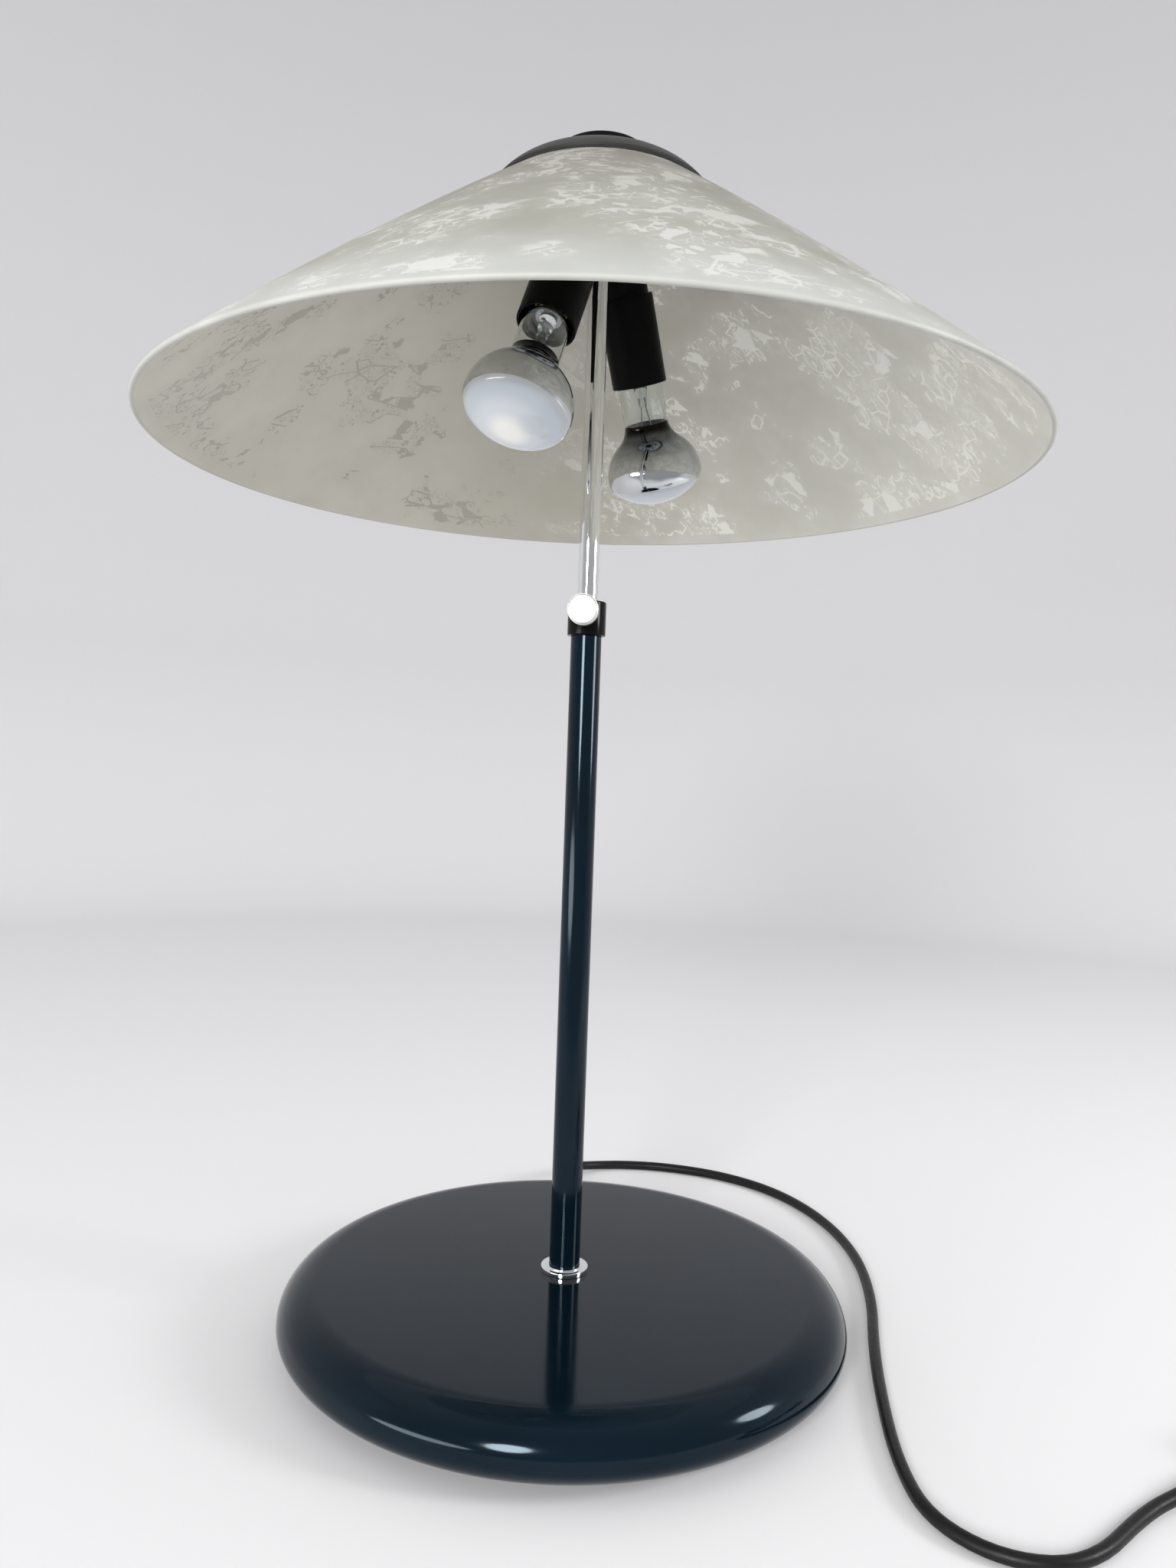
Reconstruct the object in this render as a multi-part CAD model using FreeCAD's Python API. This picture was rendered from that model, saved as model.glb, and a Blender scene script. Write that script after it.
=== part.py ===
import FreeCAD, Part
import math
import os

# Telescopic table lamp: weighted disc base, lacquered pole, chrome stem held by a thumb screw,
# two reflector bulbs on a bracket, and a cone of mottled glass clamped under a spun cap.
# Millimetres, +Z up, origin at the centre of the foot pad's underside.

V = FreeCAD.Vector
ORIGIN = V(0, 0, 0)
UP = V(0, 0, 1)
os.makedirs("parts", exist_ok=True)

# Base
base_radius = 136.5
base_flat_radius = 118.0       # the flat top ends here
base_lip_radius = 113.0        # the rolled edge ends here, under the rim
base_wall = 1.5
base_edge_z = 15.0             # height of the widest line of the rolled edge
base_top_z = 31.0
foot_pad_radius = 110.0
foot_pad_hole = 62.0
foot_pad_thickness = 2.0
plate_thickness = 1.5
plate_gap = 0.5
weight_radius = 110.0
weight_thickness = 16.0
weight_boss_radius = 7.0
weight_slot_width = 18.0
weight_slot_end = 52.0
weight_recess_radius = 16.0
weight_recess = 8.0
plate_screw_circle = 88.0
plate_screw_count = 3
plate_screw_radius = 2.0
plate_screw_head_radius = 4.0
plate_screw_head = 1.6
plate_screw_length = 14.0
screw_hole_gap = 0.4

# Pole and its fixing
pole_radius = 7.5
pole_bore_radius = 6.25
pole_top_z = 348.5
nipple_radius = 5.0
nipple_bore_radius = 3.2
nipple_plug_length = 35.0
nipple_drop = 17.0             # thread below the top of the base
pole_nut_flats = 17.0
pole_nut_thickness = 5.0
pole_nut_flange_radius = 12.0
pole_nut_flange = 1.5
foot_ring_radius = 11.5
foot_ring_height = 3.3
foot_ring_lip_radius = 9.0
foot_ring_lip = 0.8
foot_ring_edge = 0.5

# Clamp collar, guide bush and thumb screw
collar_radius = 9.3
collar_height = 16.5
collar_bottom_z = pole_top_z - 6.5
collar_edge = 0.6
bush_length = 25.0
stem_running_gap = 0.06
stem_wide_gap = 0.3
knob_azimuth = 263.1           # degrees; 270 is the side that faces the viewer
knob_z = pole_top_z + 4.3
clamp_hole_radius = 2.0
clamp_running_gap = 0.05
pad_length = 2.4
pad_stem_gap = 0.05
knob_radius = 7.4
knob_thickness = 6.0
knob_boss_radius = 4.5
knob_boss_length = 2.0
knob_collar_gap = 1.2
knob_edge = 0.8
knob_flutes = 24
knob_flute_radius = 0.5

# Stem
stem_radius = 5.0
stem_bore_radius = 4.0
stem_bottom_z = pole_top_z - 150.5
stem_above_cap = 8.0
guide_length = 20.0
guide_gap = 0.08               # to the pole's bore
guide_above_end = 2.2
clip_thickness = 1.0
clip_groove_depth = 0.4
clip_radius = 5.95
clip_side_gap = 0.2
wire_hole_radius = 1.7
wire_hole_z = pole_top_z + 191.9
stem_lead_radius = 2.4

# Lamp bracket and its nuts
bracket_z = pole_top_z + 175.1      # underside of the flat middle
bracket_thickness = 2.0
bracket_width = 24.0
bracket_bend_radius = 7.5      # distance of the bend from the stem's axis
arm_length = 25.0
arm_corner = 8.0
arm_hole_at = 13.0             # from the bend
lamp_splay = 25.8              # degrees from straight down
lamp_azimuth = 238.6           # degrees, the lamp that points forward and left
bracket_collar_radius = 6.6
bracket_collar_height = 4.0
stem_nut_flats = 14.0
stem_nut_thickness = 4.0
m10_radius = 5.0
m10_gap = 0.1

# Lampholders, along the lamp's own axis from the mouth upwards
skirt_radius = 14.0
skirt_bore_radius = 12.8
skirt_length = 43.0
holder_length = 58.0
holder_cap_radius = 12.1
holder_cap_wall = 1.5
holder_cap_overlap = 5.0
insert_bottom = 29.5
insert_thickness = 6.0
shell_bore_radius = 7.2
shell_wall = 0.5
shell_bottom = 9.0
contact_radius = 2.0
contact_gap = 0.3
contact_flange_radius = 3.2
contact_flange = 1.0
contact_lift = 1.8             # room for the contact to follow the bulb
holder_nipple_bore = 3.3
holder_nipple_up = 7.0         # above the arm's underside
holder_nipple_down = 6.0
holder_nut_thickness = 3.0

# Reflector bulbs, along the same axis, measured down from the mouth
bulb_tip = 26.5                # this far above the mouth
bulb_tip_radius = 2.6
bulb_tip_height = 2.5
bulb_cone_height = 3.0
bulb_cap_radius = 6.9
bulb_neck_radius = 11.3
bulb_neck_top = 1.0
bulb_neck_bottom = 18.0
bulb_throat_radius = 6.4
bulb_radius = 25.0
bulb_widest = 46.0
bulb_front = 61.0
bulb_reflector_radius = 22.0   # of the curve behind the widest line
bulb_shoulder_radius = 9.0     # of the curve in front of it
bulb_wall = 0.8
mount_radius = 4.0
mount_pinch_radius = 2.2
mount_length = 14.0
mount_wire_radius = 0.5
mount_wire_spread = 6.0
filament_depth = 36.0

# Glass shade
glass_rim_radius = 209.2
glass_rim_z = pole_top_z + 80.5
glass_top_radius = 52.1        # where the cap's edge covers the glass
glass_top_z = pole_top_z + 202.3
glass_bulge = 2.0
glass_wall = 2.5
glass_hole_radius = 42.0

# Carrier under the glass, cap over it and finial
carrier_rim_radius = 50.0
carrier_bend_radius = 44.0
carrier_wall = 1.5
gasket_thickness = 2.0
gasket_inset = 0.5
carrier_hole_radius = 5.0
carrier_hole_circle = 28.0
carrier_holes = 8
cap_rim_radius = 53.0
cap_flat_radius = 27.0
cap_height = 12.7
cap_bulge = 3.2
cap_wall = 1.2
cap_foot = 1.5                 # width of the edge that stands on the seal
cap_seal_thickness = 1.0
cap_seal_width = 4.0
cap_bore_gap = 0.3
finial_radius = 22.0
finial_height = 11.9
finial_side = 8.3
finial_gap = 0.4
finial_roof = 2.5
finial_washer_radius = 16.0
finial_washer_thickness = 1.6
finial_washer_gap = 0.3
finial_insert_radius = 8.0
finial_insert_height = 6.5

# Cord gland, strain relief and the wiring in the base
cord_radius = 2.75
gland_x = -5.0
gland_z = 15.0
gland_flange_radius = 9.5
gland_flange = 3.0             # beyond the base's widest line
gland_shank_radius = 6.0
gland_shank = 9.0
relief_start_radius = 5.2
relief_end_radius = 3.7
relief_length = 30.0
relief_ribs = 6
relief_rib = 0.8
pole_lead_radius = 2.0
block_width = 16.0
block_length = 20.0
block_height = 14.0
block_y = 62.0
lamp_lead_radius = 1.3
lamp_lead_aside = 6.5          # where it meets the insert, off the lamp's axis

# The cord's route on the floor, chosen by hand, from the strain relief to the switch
route_to_switch = [
    (-5.0, 169.5, 15.0), (-5.0, 185.0, 15.0), (-3.5, 202.5, 10.5), (5.0, 218.0, 6.0),
    (20.0, 229.0, 3.2), (40.0, 233.0, 2.75), (68.0, 231.0, 2.75), (105.0, 218.0, 2.75),
    (138.0, 190.0, 2.75), (160.0, 145.0, 2.75), (168.0, 93.0, 2.75), (163.0, 40.0, 2.75),
    (151.0, -10.0, 2.75), (142.5, -58.0, 2.75), (137.0, -103.0, 2.75), (139.0, -138.0, 2.75),
    (160.0, -160.0, 2.75),
    (190.0, -161.0, 2.75), (224.0, -130.0, 2.75), (246.0, -119.0, 4.4), (264.0, -110.6, 8.0),
    (280.3, -103.0, 8.0),
]
# From the switch to the coil, chosen by hand
route_to_coil = [
    (354.617, -68.345, 8.0), (369.1, -61.6, 8.0), (387.1, -62.9, 6.5), (402.2, -72.6, 4.6),
    (409.4, -92.0, 4.0), (410.6, -115.0, 4.0), (410.6, -139.0, 4.0),
]
# From the coil to the plug, chosen by hand
route_to_plug = [
    (369.1, -182.03, 10.1), (356.6, -182.03, 10.1), (343.6, -181.5, 7.0), (330.6, -181.5, 7.0),
]

# Switch on the cord
switch_heading = 25.0          # degrees, the way that the cord goes through it
switch_relief = 11.0
switch_body = 60.0
switch_width = 27.0
switch_height = 17.0
switch_split_z = 8.0
switch_corner = 11.0
switch_edge = 2.0
switch_relief_radius = 4.4
rocker_half = 9.2
rocker_width = 11.0
rocker_end_gap = 1.15
rocker_side_gap = 0.35
rocker_pivot_z = 11.5
rocker_low_z = 12.5
rocker_high_z = 18.4
rocker_middle_z = 17.2
rocker_keel_z = 10.0
rocker_tilt = 8.0
rocker_pin_radius = 1.5
rocker_pin_length = 1.5
rocker_pin_gap = 0.06
rocker_well_z = 9.0

# The put-away coil: two layers of turns, wound in and out again, and its tie
coil_turns = 2                 # in each layer
coil_extra = 0.25              # of a turn, in the upper layer
coil_x = 374.6
coil_y = -144.5
coil_outer = 36.0
coil_gap = 0.6
coil_z = 4.0
tie_width = 7.0
tie_thickness = 0.9
tie_gap = 0.25                 # under and over the turns
tie_side_gap = 0.5

# Plug
plug_relief = 16.0
plug_relief_radius = 5.0
plug_length = 36.0
plug_width = 35.0
plug_back_width = 17.0
plug_height = 14.0
plug_edge = 2.0
pin_radius = 2.0
pin_length = 19.0
pin_spacing = 19.0


def save(name, shape):
    """Write one node, and say so if it is not valid."""
    if not shape.isValid():
        print("not valid:", name)
    shape.exportStep("parts/%s.step" % name)


def cylinder(radius, bottom, top):
    return Part.makeCylinder(radius, top - bottom, V(0, 0, bottom))


def ring(outer, inner, bottom, top):
    return cylinder(outer, bottom, top).cut(cylinder(inner, bottom - 1, top + 1))


def hexagon(flats, bottom, top, bore):
    """A hexagon nut about Z with two of its flats facing +X and -X."""
    corner = flats / 2 / math.cos(math.pi / 6)
    angles = [math.radians(30 + 60 * k) for k in range(7)]
    outline = [V(corner * math.cos(a), corner * math.sin(a), bottom) for a in angles]
    body = Part.Face(Part.makePolygon(outline)).extrude(V(0, 0, top - bottom))
    return body.cut(cylinder(bore, bottom - 1, top + 1))


def line(a, b):
    return Part.LineSegment(V(a[0], 0, a[1]), V(b[0], 0, b[1])).toShape()


def arc(a, middle, b):
    return Part.Arc(V(a[0], 0, a[1]), V(middle[0], 0, middle[1]), V(b[0], 0, b[1])).toShape()


def quarter(a, corner, b):
    """A quarter of an ellipse from a to b, whose tangents meet at corner."""
    k = 0.5523                 # makes a cubic curve follow a quarter circle
    inner = [tuple(end[i] + k * (corner[i] - end[i]) for i in (0, 1)) for end in (a, b)]
    curve = Part.BezierCurve()
    curve.setPoles([V(p[0], 0, p[1]) for p in (a, inner[0], inner[1], b)])
    return curve.toShape()


def path(points):
    """The edges of straight runs through points, left open."""
    return [line(a, b) for a, b in zip(points, points[1:])]


def revolve(edges):
    """A solid of revolution about Z from a closed outline in the XZ plane."""
    outline = Part.Wire(Part.__sortEdges__(edges))
    solid = Part.Face(outline).revolve(ORIGIN, UP, 360)
    return solid if solid.Volume > 0 else solid.reversed()


def turned(shape, degrees):
    """A copy turned about the lamp's upright axis."""
    copy = shape.copy()
    copy.rotate(ORIGIN, UP, degrees)
    return copy


def moved(shape, offset):
    copy = shape.copy()
    copy.translate(offset)
    return copy


class Bow:
    """A circular arc over the chord from a to b, that rises on the chord's left side."""

    def __init__(self, a, b, rise):
        dx, dz = b[0] - a[0], b[1] - a[1]
        chord = math.hypot(dx, dz)
        nx, nz = -dz / chord, dx / chord
        self.radius = (chord * chord / 4 + rise * rise) / (2 * rise)
        middle = ((a[0] + b[0]) / 2, (a[1] + b[1]) / 2)
        back = self.radius - rise
        self.center = (middle[0] - nx * back, middle[1] - nz * back)

    def height(self, r, depth=0.0):
        """Z of the arc at radius r, moved in by depth."""
        reach = self.radius - depth
        return self.center[1] + math.sqrt(reach ** 2 - (r - self.center[0]) ** 2)

    def reach(self, z, depth=0.0):
        """Radius of the arc at height z, moved in by depth."""
        return self.center[0] + math.sqrt((self.radius - depth) ** 2 - (z - self.center[1]) ** 2)

    def inside(self, r, depth):
        """The point that is depth below the arc's point at radius r, square to the arc."""
        z = self.height(r)
        share = depth / self.radius
        return (r - share * (r - self.center[0]), z - share * (z - self.center[1]))

    def piece(self, a, b, depth=0.0):
        """The arc's edge between two of its points, moved in by depth."""
        r = (a[0] + b[0]) / 2
        return arc(a, (r, self.height(r, depth)), b)


# Sizes that several pieces share
glass = Bow((glass_top_radius, glass_top_z), (glass_rim_radius, glass_rim_z), glass_bulge)
cap_rim_z = glass.height(cap_rim_radius, -cap_seal_thickness) + cap_wall
cap_top_z = cap_rim_z + cap_height
stem_top_z = cap_top_z + stem_above_cap
carrier_depth = glass_wall + gasket_thickness
carrier_top_z = glass.height(carrier_bend_radius, carrier_depth)
plate_top_z = foot_pad_thickness + plate_thickness
weight_top_z = base_top_z - base_wall
weight_bottom_z = weight_top_z - weight_thickness
nipple_bottom_z = base_top_z - nipple_drop
nut_top_z = weight_bottom_z + weight_recess
splay = math.radians(lamp_splay)
mouth_radius = (bracket_bend_radius + arm_hole_at * math.cos(splay)
                + holder_length * math.sin(splay))
mouth_z = bracket_z + arm_hole_at * math.sin(splay) - holder_length * math.cos(splay)


def base_outline(depth):
    """The half outline of the base's rolled edge, moved in by depth."""
    edge, flat, lip = base_radius - depth, base_flat_radius, base_lip_radius
    top, bottom = base_top_z - depth, foot_pad_thickness + depth
    return [quarter((flat, top), (edge, top), (edge, base_edge_z)),
            quarter((edge, base_edge_z), (edge, bottom), (lip, bottom))]


def base_envelope():
    """The space that the base cover fills, as one solid without its wall."""
    top, bottom = base_top_z, foot_pad_thickness
    ends = path([(base_lip_radius, bottom), (0, bottom), (0, top), (base_flat_radius, top)])
    return revolve(base_outline(0) + ends)


def gland_axis(radius, start, end):
    """A round bar along the gland's axis, from one Y to another."""
    return Part.makeCylinder(radius, end - start, V(gland_x, start, gland_z), V(0, 1, 0))


def make_base_cover():
    top, inner = base_top_z, base_top_z - base_wall
    hole = nipple_radius
    edges = base_outline(0) + base_outline(base_wall)
    edges += [line((base_flat_radius, top), (hole, top)), line((hole, top), (hole, inner)),
              line((hole, inner), (base_flat_radius, inner)),
              line((base_lip_radius, foot_pad_thickness),
                   (base_lip_radius, foot_pad_thickness + base_wall))]
    return revolve(edges).cut(gland_axis(gland_shank_radius, 0.5 * base_radius, base_radius + 5))


def screw_places():
    step = 360.0 / plate_screw_count
    return [30 + step * k for k in range(plate_screw_count)]


def make_base_weight():
    body = cylinder(weight_radius, weight_bottom_z, weight_top_z)
    slot = Part.makeBox(weight_slot_width, weight_radius, weight_thickness + 2,
                        V(gland_x - weight_slot_width / 2, weight_slot_end, weight_bottom_z - 1))
    body = body.cut(slot)
    for angle in screw_places():
        boss = moved(cylinder(weight_boss_radius, plate_top_z, weight_bottom_z + 1),
                     V(plate_screw_circle, 0, 0))
        body = body.fuse(turned(boss, angle))
    for angle in screw_places():
        hole = moved(cylinder(plate_screw_radius, plate_top_z - 1,
                              foot_pad_thickness + plate_screw_length + 1),
                     V(plate_screw_circle, 0, 0))
        body = body.cut(turned(hole, angle))
    body = body.cut(cylinder(nipple_radius, 0, base_top_z))
    recess_top = weight_bottom_z + weight_recess
    return body.cut(cylinder(weight_recess_radius, weight_bottom_z - 1, recess_top))


def make_bottom_plate():
    body = cylinder(base_lip_radius - plate_gap, foot_pad_thickness, plate_top_z)
    for angle in screw_places():
        hole = moved(cylinder(plate_screw_radius + screw_hole_gap, 0, plate_top_z + 1),
                     V(plate_screw_circle, 0, 0))
        body = body.cut(turned(hole, angle))
    return body


def make_foot_pad():
    body = ring(foot_pad_radius, foot_pad_hole, 0, foot_pad_thickness)
    for angle in screw_places():
        hole = moved(cylinder(plate_screw_head_radius + screw_hole_gap, -1, plate_top_z),
                     V(plate_screw_circle, 0, 0))
        body = body.cut(turned(hole, angle))
    return body


def make_plate_screws():
    under = foot_pad_thickness - plate_screw_head
    screw = cylinder(plate_screw_head_radius, under, foot_pad_thickness)
    shank = cylinder(plate_screw_radius, under, foot_pad_thickness + plate_screw_length)
    screw = moved(screw.fuse(shank), V(plate_screw_circle, 0, 0))
    return Part.makeCompound([turned(screw, angle) for angle in screw_places()])


def make_pole_nipple():
    plug_top = base_top_z + nipple_plug_length
    body = cylinder(nipple_radius, nipple_bottom_z, base_top_z + 1)
    body = body.fuse(cylinder(pole_bore_radius, base_top_z, plug_top))
    return body.cut(cylinder(nipple_bore_radius, nipple_bottom_z - 1, plug_top + 1))


def make_foot_ring():
    top = base_top_z + foot_ring_height
    low, lip = top - foot_ring_lip, foot_ring_lip_radius
    outer, edge = foot_ring_radius, foot_ring_edge
    outline = [(pole_radius, base_top_z), (outer, base_top_z), (outer, low - edge),
               (outer - edge, low), (lip, low), (lip, top), (pole_radius, top)]
    return revolve(path(outline + outline[:1]))


def make_collar():
    top, outer = collar_bottom_z + collar_height, collar_radius
    bore = stem_radius + stem_wide_gap
    outline = [(pole_radius, collar_bottom_z), (outer, collar_bottom_z),
               (outer, top - collar_edge), (outer - collar_edge, top), (bore, top),
               (bore, pole_top_z), (pole_radius, pole_top_z)]
    body = revolve(path(outline + outline[:1]))
    return body.cut(clamp_place(cylinder(clamp_hole_radius, 0, 2 * outer)))


def clamp_place(shape):
    """Lay a piece that stands on Z along the thumb screw's axis."""
    copy = shape.copy()
    copy.rotate(ORIGIN, V(0, 1, 0), 90)
    copy.rotate(ORIGIN, UP, knob_azimuth)
    copy.translate(V(0, 0, knob_z))
    return copy


def make_clamp_pieces():
    start = stem_radius + pad_stem_gap
    radius = clamp_hole_radius - clamp_running_gap
    pad = cylinder(radius, start, start + pad_length)
    boss = collar_radius + knob_collar_gap
    disc = boss + knob_boss_length
    front = disc + knob_thickness
    screw = cylinder(radius, start + pad_length, disc + knob_thickness / 2)
    edge = knob_edge
    outline = [(0, boss), (knob_boss_radius, boss), (knob_boss_radius, disc),
               (knob_radius - edge, disc), (knob_radius, disc + edge),
               (knob_radius, front - edge), (knob_radius - edge, front), (0, front)]
    knob = revolve(path(outline + outline[:1]))
    flute = moved(cylinder(knob_flute_radius, disc - 1, front + 1), V(knob_radius, 0, 0))
    knob = knob.cut([turned(flute, 360.0 * k / knob_flutes) for k in range(knob_flutes)])
    knob = knob.cut(screw)
    return [clamp_place(piece) for piece in (pad, screw, knob)]


def clip_spans():
    """The heights of the two clips that keep the guide on the stem."""
    low = stem_bottom_z + guide_above_end
    high = low + guide_length
    return [(low - clip_side_gap - clip_thickness, low - clip_side_gap),
            (high + clip_side_gap, high + clip_side_gap + clip_thickness)]


def make_stem():
    body = ring(stem_radius, stem_bore_radius, stem_bottom_z, stem_top_z)
    for bottom, top in clip_spans():
        body = body.cut(ring(stem_radius + 1, stem_radius - clip_groove_depth, bottom, top))
    hole = Part.makeCylinder(wire_hole_radius, 4 * stem_radius,
                             V(-2 * stem_radius, 0, wire_hole_z), V(1, 0, 0))
    return body.cut(turned(hole, lamp_azimuth))


def make_stem_guide():
    low = stem_bottom_z + guide_above_end
    outer = pole_bore_radius - guide_gap
    return ring(outer, stem_radius + stem_running_gap, low, low + guide_length)


def make_guide_clips():
    inner = stem_radius - clip_groove_depth
    return Part.makeCompound([ring(clip_radius, inner, a, b) for a, b in clip_spans()])


def make_bracket():
    bend, thick = bracket_bend_radius, bracket_thickness
    tip = (bend + arm_length * math.cos(splay), arm_length * math.sin(splay))
    tip_top = (tip[0] - thick * math.sin(splay), tip[1] + thick * math.cos(splay))
    bend_top = (bend - thick * math.tan(splay / 2), thick)
    half = [(bend, 0), tip, tip_top, bend_top]
    mirrored = [(-x, z) for x, z in reversed(half)]
    outline = half + mirrored
    face = Part.Face(Part.Wire(path(outline + outline[:1])))
    body = moved(face, V(0, -bracket_width / 2, 0)).extrude(V(0, bracket_width, 0))
    ends = [e for e in body.Edges
            if abs(e.Length - thick) < 0.01 and min(abs(v.X) for v in e.Vertexes) > bend + thick]
    body = body.makeFillet(min(arm_corner, bracket_width / 2 - 0.5), ends)
    body = body.cut(cylinder(m10_radius + m10_gap, -1, thick + 1))
    hole = cylinder(m10_radius + m10_gap, -thick, 2 * thick)
    hole.rotate(ORIGIN, V(0, 1, 0), -lamp_splay)
    hole.translate(V(bend + arm_hole_at * math.cos(splay), 0, arm_hole_at * math.sin(splay)))
    body = body.cut([hole, turned(hole, 180)])
    return turned(moved(body, V(0, 0, bracket_z)), lamp_azimuth)


def make_stem_nuts():
    """Over the bracket, and under and over the carrier."""
    over = bracket_z + bracket_thickness
    spans = [(over, over + stem_nut_thickness),
             (carrier_top_z - carrier_wall - stem_nut_thickness, carrier_top_z - carrier_wall),
             (carrier_top_z, carrier_top_z + stem_nut_thickness)]
    nuts = [hexagon(stem_nut_flats, a, b, m10_radius) for a, b in spans]
    return turned(Part.makeCompound(nuts), lamp_azimuth)


def lamp_place(shape, side):
    """Put a piece that stands on Z at the mouth of a lampholder: side 0 is left, 1 is right."""
    copy = shape.copy()
    copy.rotate(ORIGIN, V(0, 1, 0), -lamp_splay)
    copy.translate(V(mouth_radius, 0, mouth_z))
    copy.rotate(ORIGIN, UP, lamp_azimuth + 180 * side)
    return copy


def make_holder():
    """The skirt, the cap, the insert, the thread shell, the nipple and its nut."""
    cap_low = skirt_length - holder_cap_overlap
    skirt = ring(skirt_radius, skirt_bore_radius, 0, skirt_length)
    outline = [(skirt_bore_radius, cap_low), (skirt_bore_radius, skirt_length),
               (holder_cap_radius, skirt_length), (holder_cap_radius, holder_length),
               (m10_radius, holder_length), (m10_radius, holder_length - 2 * holder_cap_wall),
               (holder_cap_radius - holder_cap_wall, holder_length - 2 * holder_cap_wall),
               (holder_cap_radius - holder_cap_wall, cap_low)]
    cap = revolve(path(outline + outline[:1]))
    insert_top = insert_bottom + insert_thickness
    insert = ring(skirt_bore_radius, contact_radius + contact_gap, insert_bottom, insert_top)
    shell = ring(shell_bore_radius + shell_wall, shell_bore_radius, shell_bottom, insert_bottom)
    nipple = ring(m10_radius, holder_nipple_bore, holder_length - holder_nipple_down,
                  holder_length + holder_nipple_up)
    nut_low = holder_length + bracket_thickness
    nut = hexagon(stem_nut_flats, nut_low, nut_low + holder_nut_thickness, m10_radius)
    return skirt, cap, insert, shell, nipple, nut


def make_contact():
    top = insert_bottom + insert_thickness + contact_lift
    flange = cylinder(contact_flange_radius, top, top + contact_flange)
    return cylinder(contact_radius, bulb_tip, top).fuse(flange)


def bulb_outline(depth):
    """The glass envelope's closed half outline, moved in by depth."""
    neck, widest, front = bulb_neck_radius, -bulb_widest, -bulb_front
    throat = bulb_throat_radius
    both = ((bulb_radius - neck) ** 2 + (bulb_widest - bulb_neck_bottom) ** 2) \
        / (2 * (bulb_radius - neck))
    flare = both - bulb_reflector_radius
    flare_center = (neck + flare, -bulb_neck_bottom)
    back_center = (bulb_radius - bulb_reflector_radius, widest)
    side_center = (bulb_radius - bulb_shoulder_radius, widest)
    fall = bulb_front - bulb_widest
    face = (side_center[0] ** 2 + fall ** 2 - bulb_shoulder_radius ** 2) \
        / (2 * (fall - bulb_shoulder_radius))
    face_center = (0.0, front + face)

    def on(center, radius, toward):
        away = math.hypot(toward[0] - center[0], toward[1] - center[1])
        return tuple(center[i] + radius * (toward[i] - center[i]) / away for i in (0, 1))

    def sweep(center, radius, a, b):
        middle = ((a[0] + b[0]) / 2, (a[1] + b[1]) / 2)
        return arc(a, on(center, radius, middle), b)

    shoulder = neck - throat - depth
    shoulder_center = (throat, -bulb_neck_top)
    top = (throat, -bulb_neck_top + shoulder)
    neck_top, neck_low = (neck - depth, -bulb_neck_top), (neck - depth, -bulb_neck_bottom)
    meet = on(flare_center, flare + depth, back_center)
    wide = (bulb_radius - depth, widest)
    turn = on(face_center, face - depth, side_center)
    apex = (0.0, front + depth)
    return [line((0.0, top[1]), top),
            sweep(shoulder_center, shoulder, top, neck_top),
            line(neck_top, neck_low),
            sweep(flare_center, flare + depth, neck_low, meet),
            sweep(back_center, bulb_reflector_radius - depth, meet, wide),
            sweep(side_center, bulb_shoulder_radius - depth, wide, turn),
            sweep(face_center, face - depth, turn, apex),
            line(apex, (0.0, top[1]))]


def make_bulb():
    """The envelope, the metal cap and the mount with the filament."""
    envelope = revolve(bulb_outline(0)).cut(revolve(bulb_outline(bulb_wall)))
    low = bulb_neck_radius - bulb_throat_radius - bulb_neck_top
    cone_low = bulb_tip - bulb_tip_height - bulb_cone_height
    outline = [(0, low), (bulb_cap_radius, low), (bulb_cap_radius, cone_low),
               (bulb_tip_radius, cone_low + bulb_cone_height), (bulb_tip_radius, bulb_tip),
               (0, bulb_tip)]
    cap = revolve(path(outline + outline[:1]))
    mount = Part.makeCone(mount_pinch_radius, mount_radius, mount_length,
                          V(0, 0, low - bulb_wall - mount_length))
    wire_top = low - bulb_wall - mount_length + 1
    for side in (-1, 1):
        start = V(0, side * mount_pinch_radius / 2, wire_top)
        end = V(0, side * mount_wire_spread, -filament_depth)
        mount = mount.fuse(Part.makeCylinder(mount_wire_radius, (end - start).Length, start,
                                             end - start))
    filament = Part.makeCylinder(mount_wire_radius, 2 * mount_wire_spread,
                                 V(0, -mount_wire_spread, -filament_depth), V(0, 1, 0))
    return envelope, cap, mount.fuse(filament)


def make_glass():
    rim = (glass_rim_radius, glass.height(glass_rim_radius))
    top = (glass_hole_radius, glass.height(glass_hole_radius))
    rim_in = glass.inside(rim[0], glass_wall)
    top_in = glass.inside(top[0], glass_wall)

    def rounded(a, b, way):
        """A half round edge over the glass's wall, that bulges along the wall."""
        middle = ((a[0] + b[0]) / 2, (a[1] + b[1]) / 2)
        along = ((a[1] - b[1]) / 2 * way, (b[0] - a[0]) / 2 * way)
        return arc(a, (middle[0] + along[0], middle[1] + along[1]), b)

    return revolve([glass.piece(top, rim), rounded(rim, rim_in, 1),
                    glass.piece(rim_in, top_in, glass_wall), rounded(top, top_in, -1)])


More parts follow.
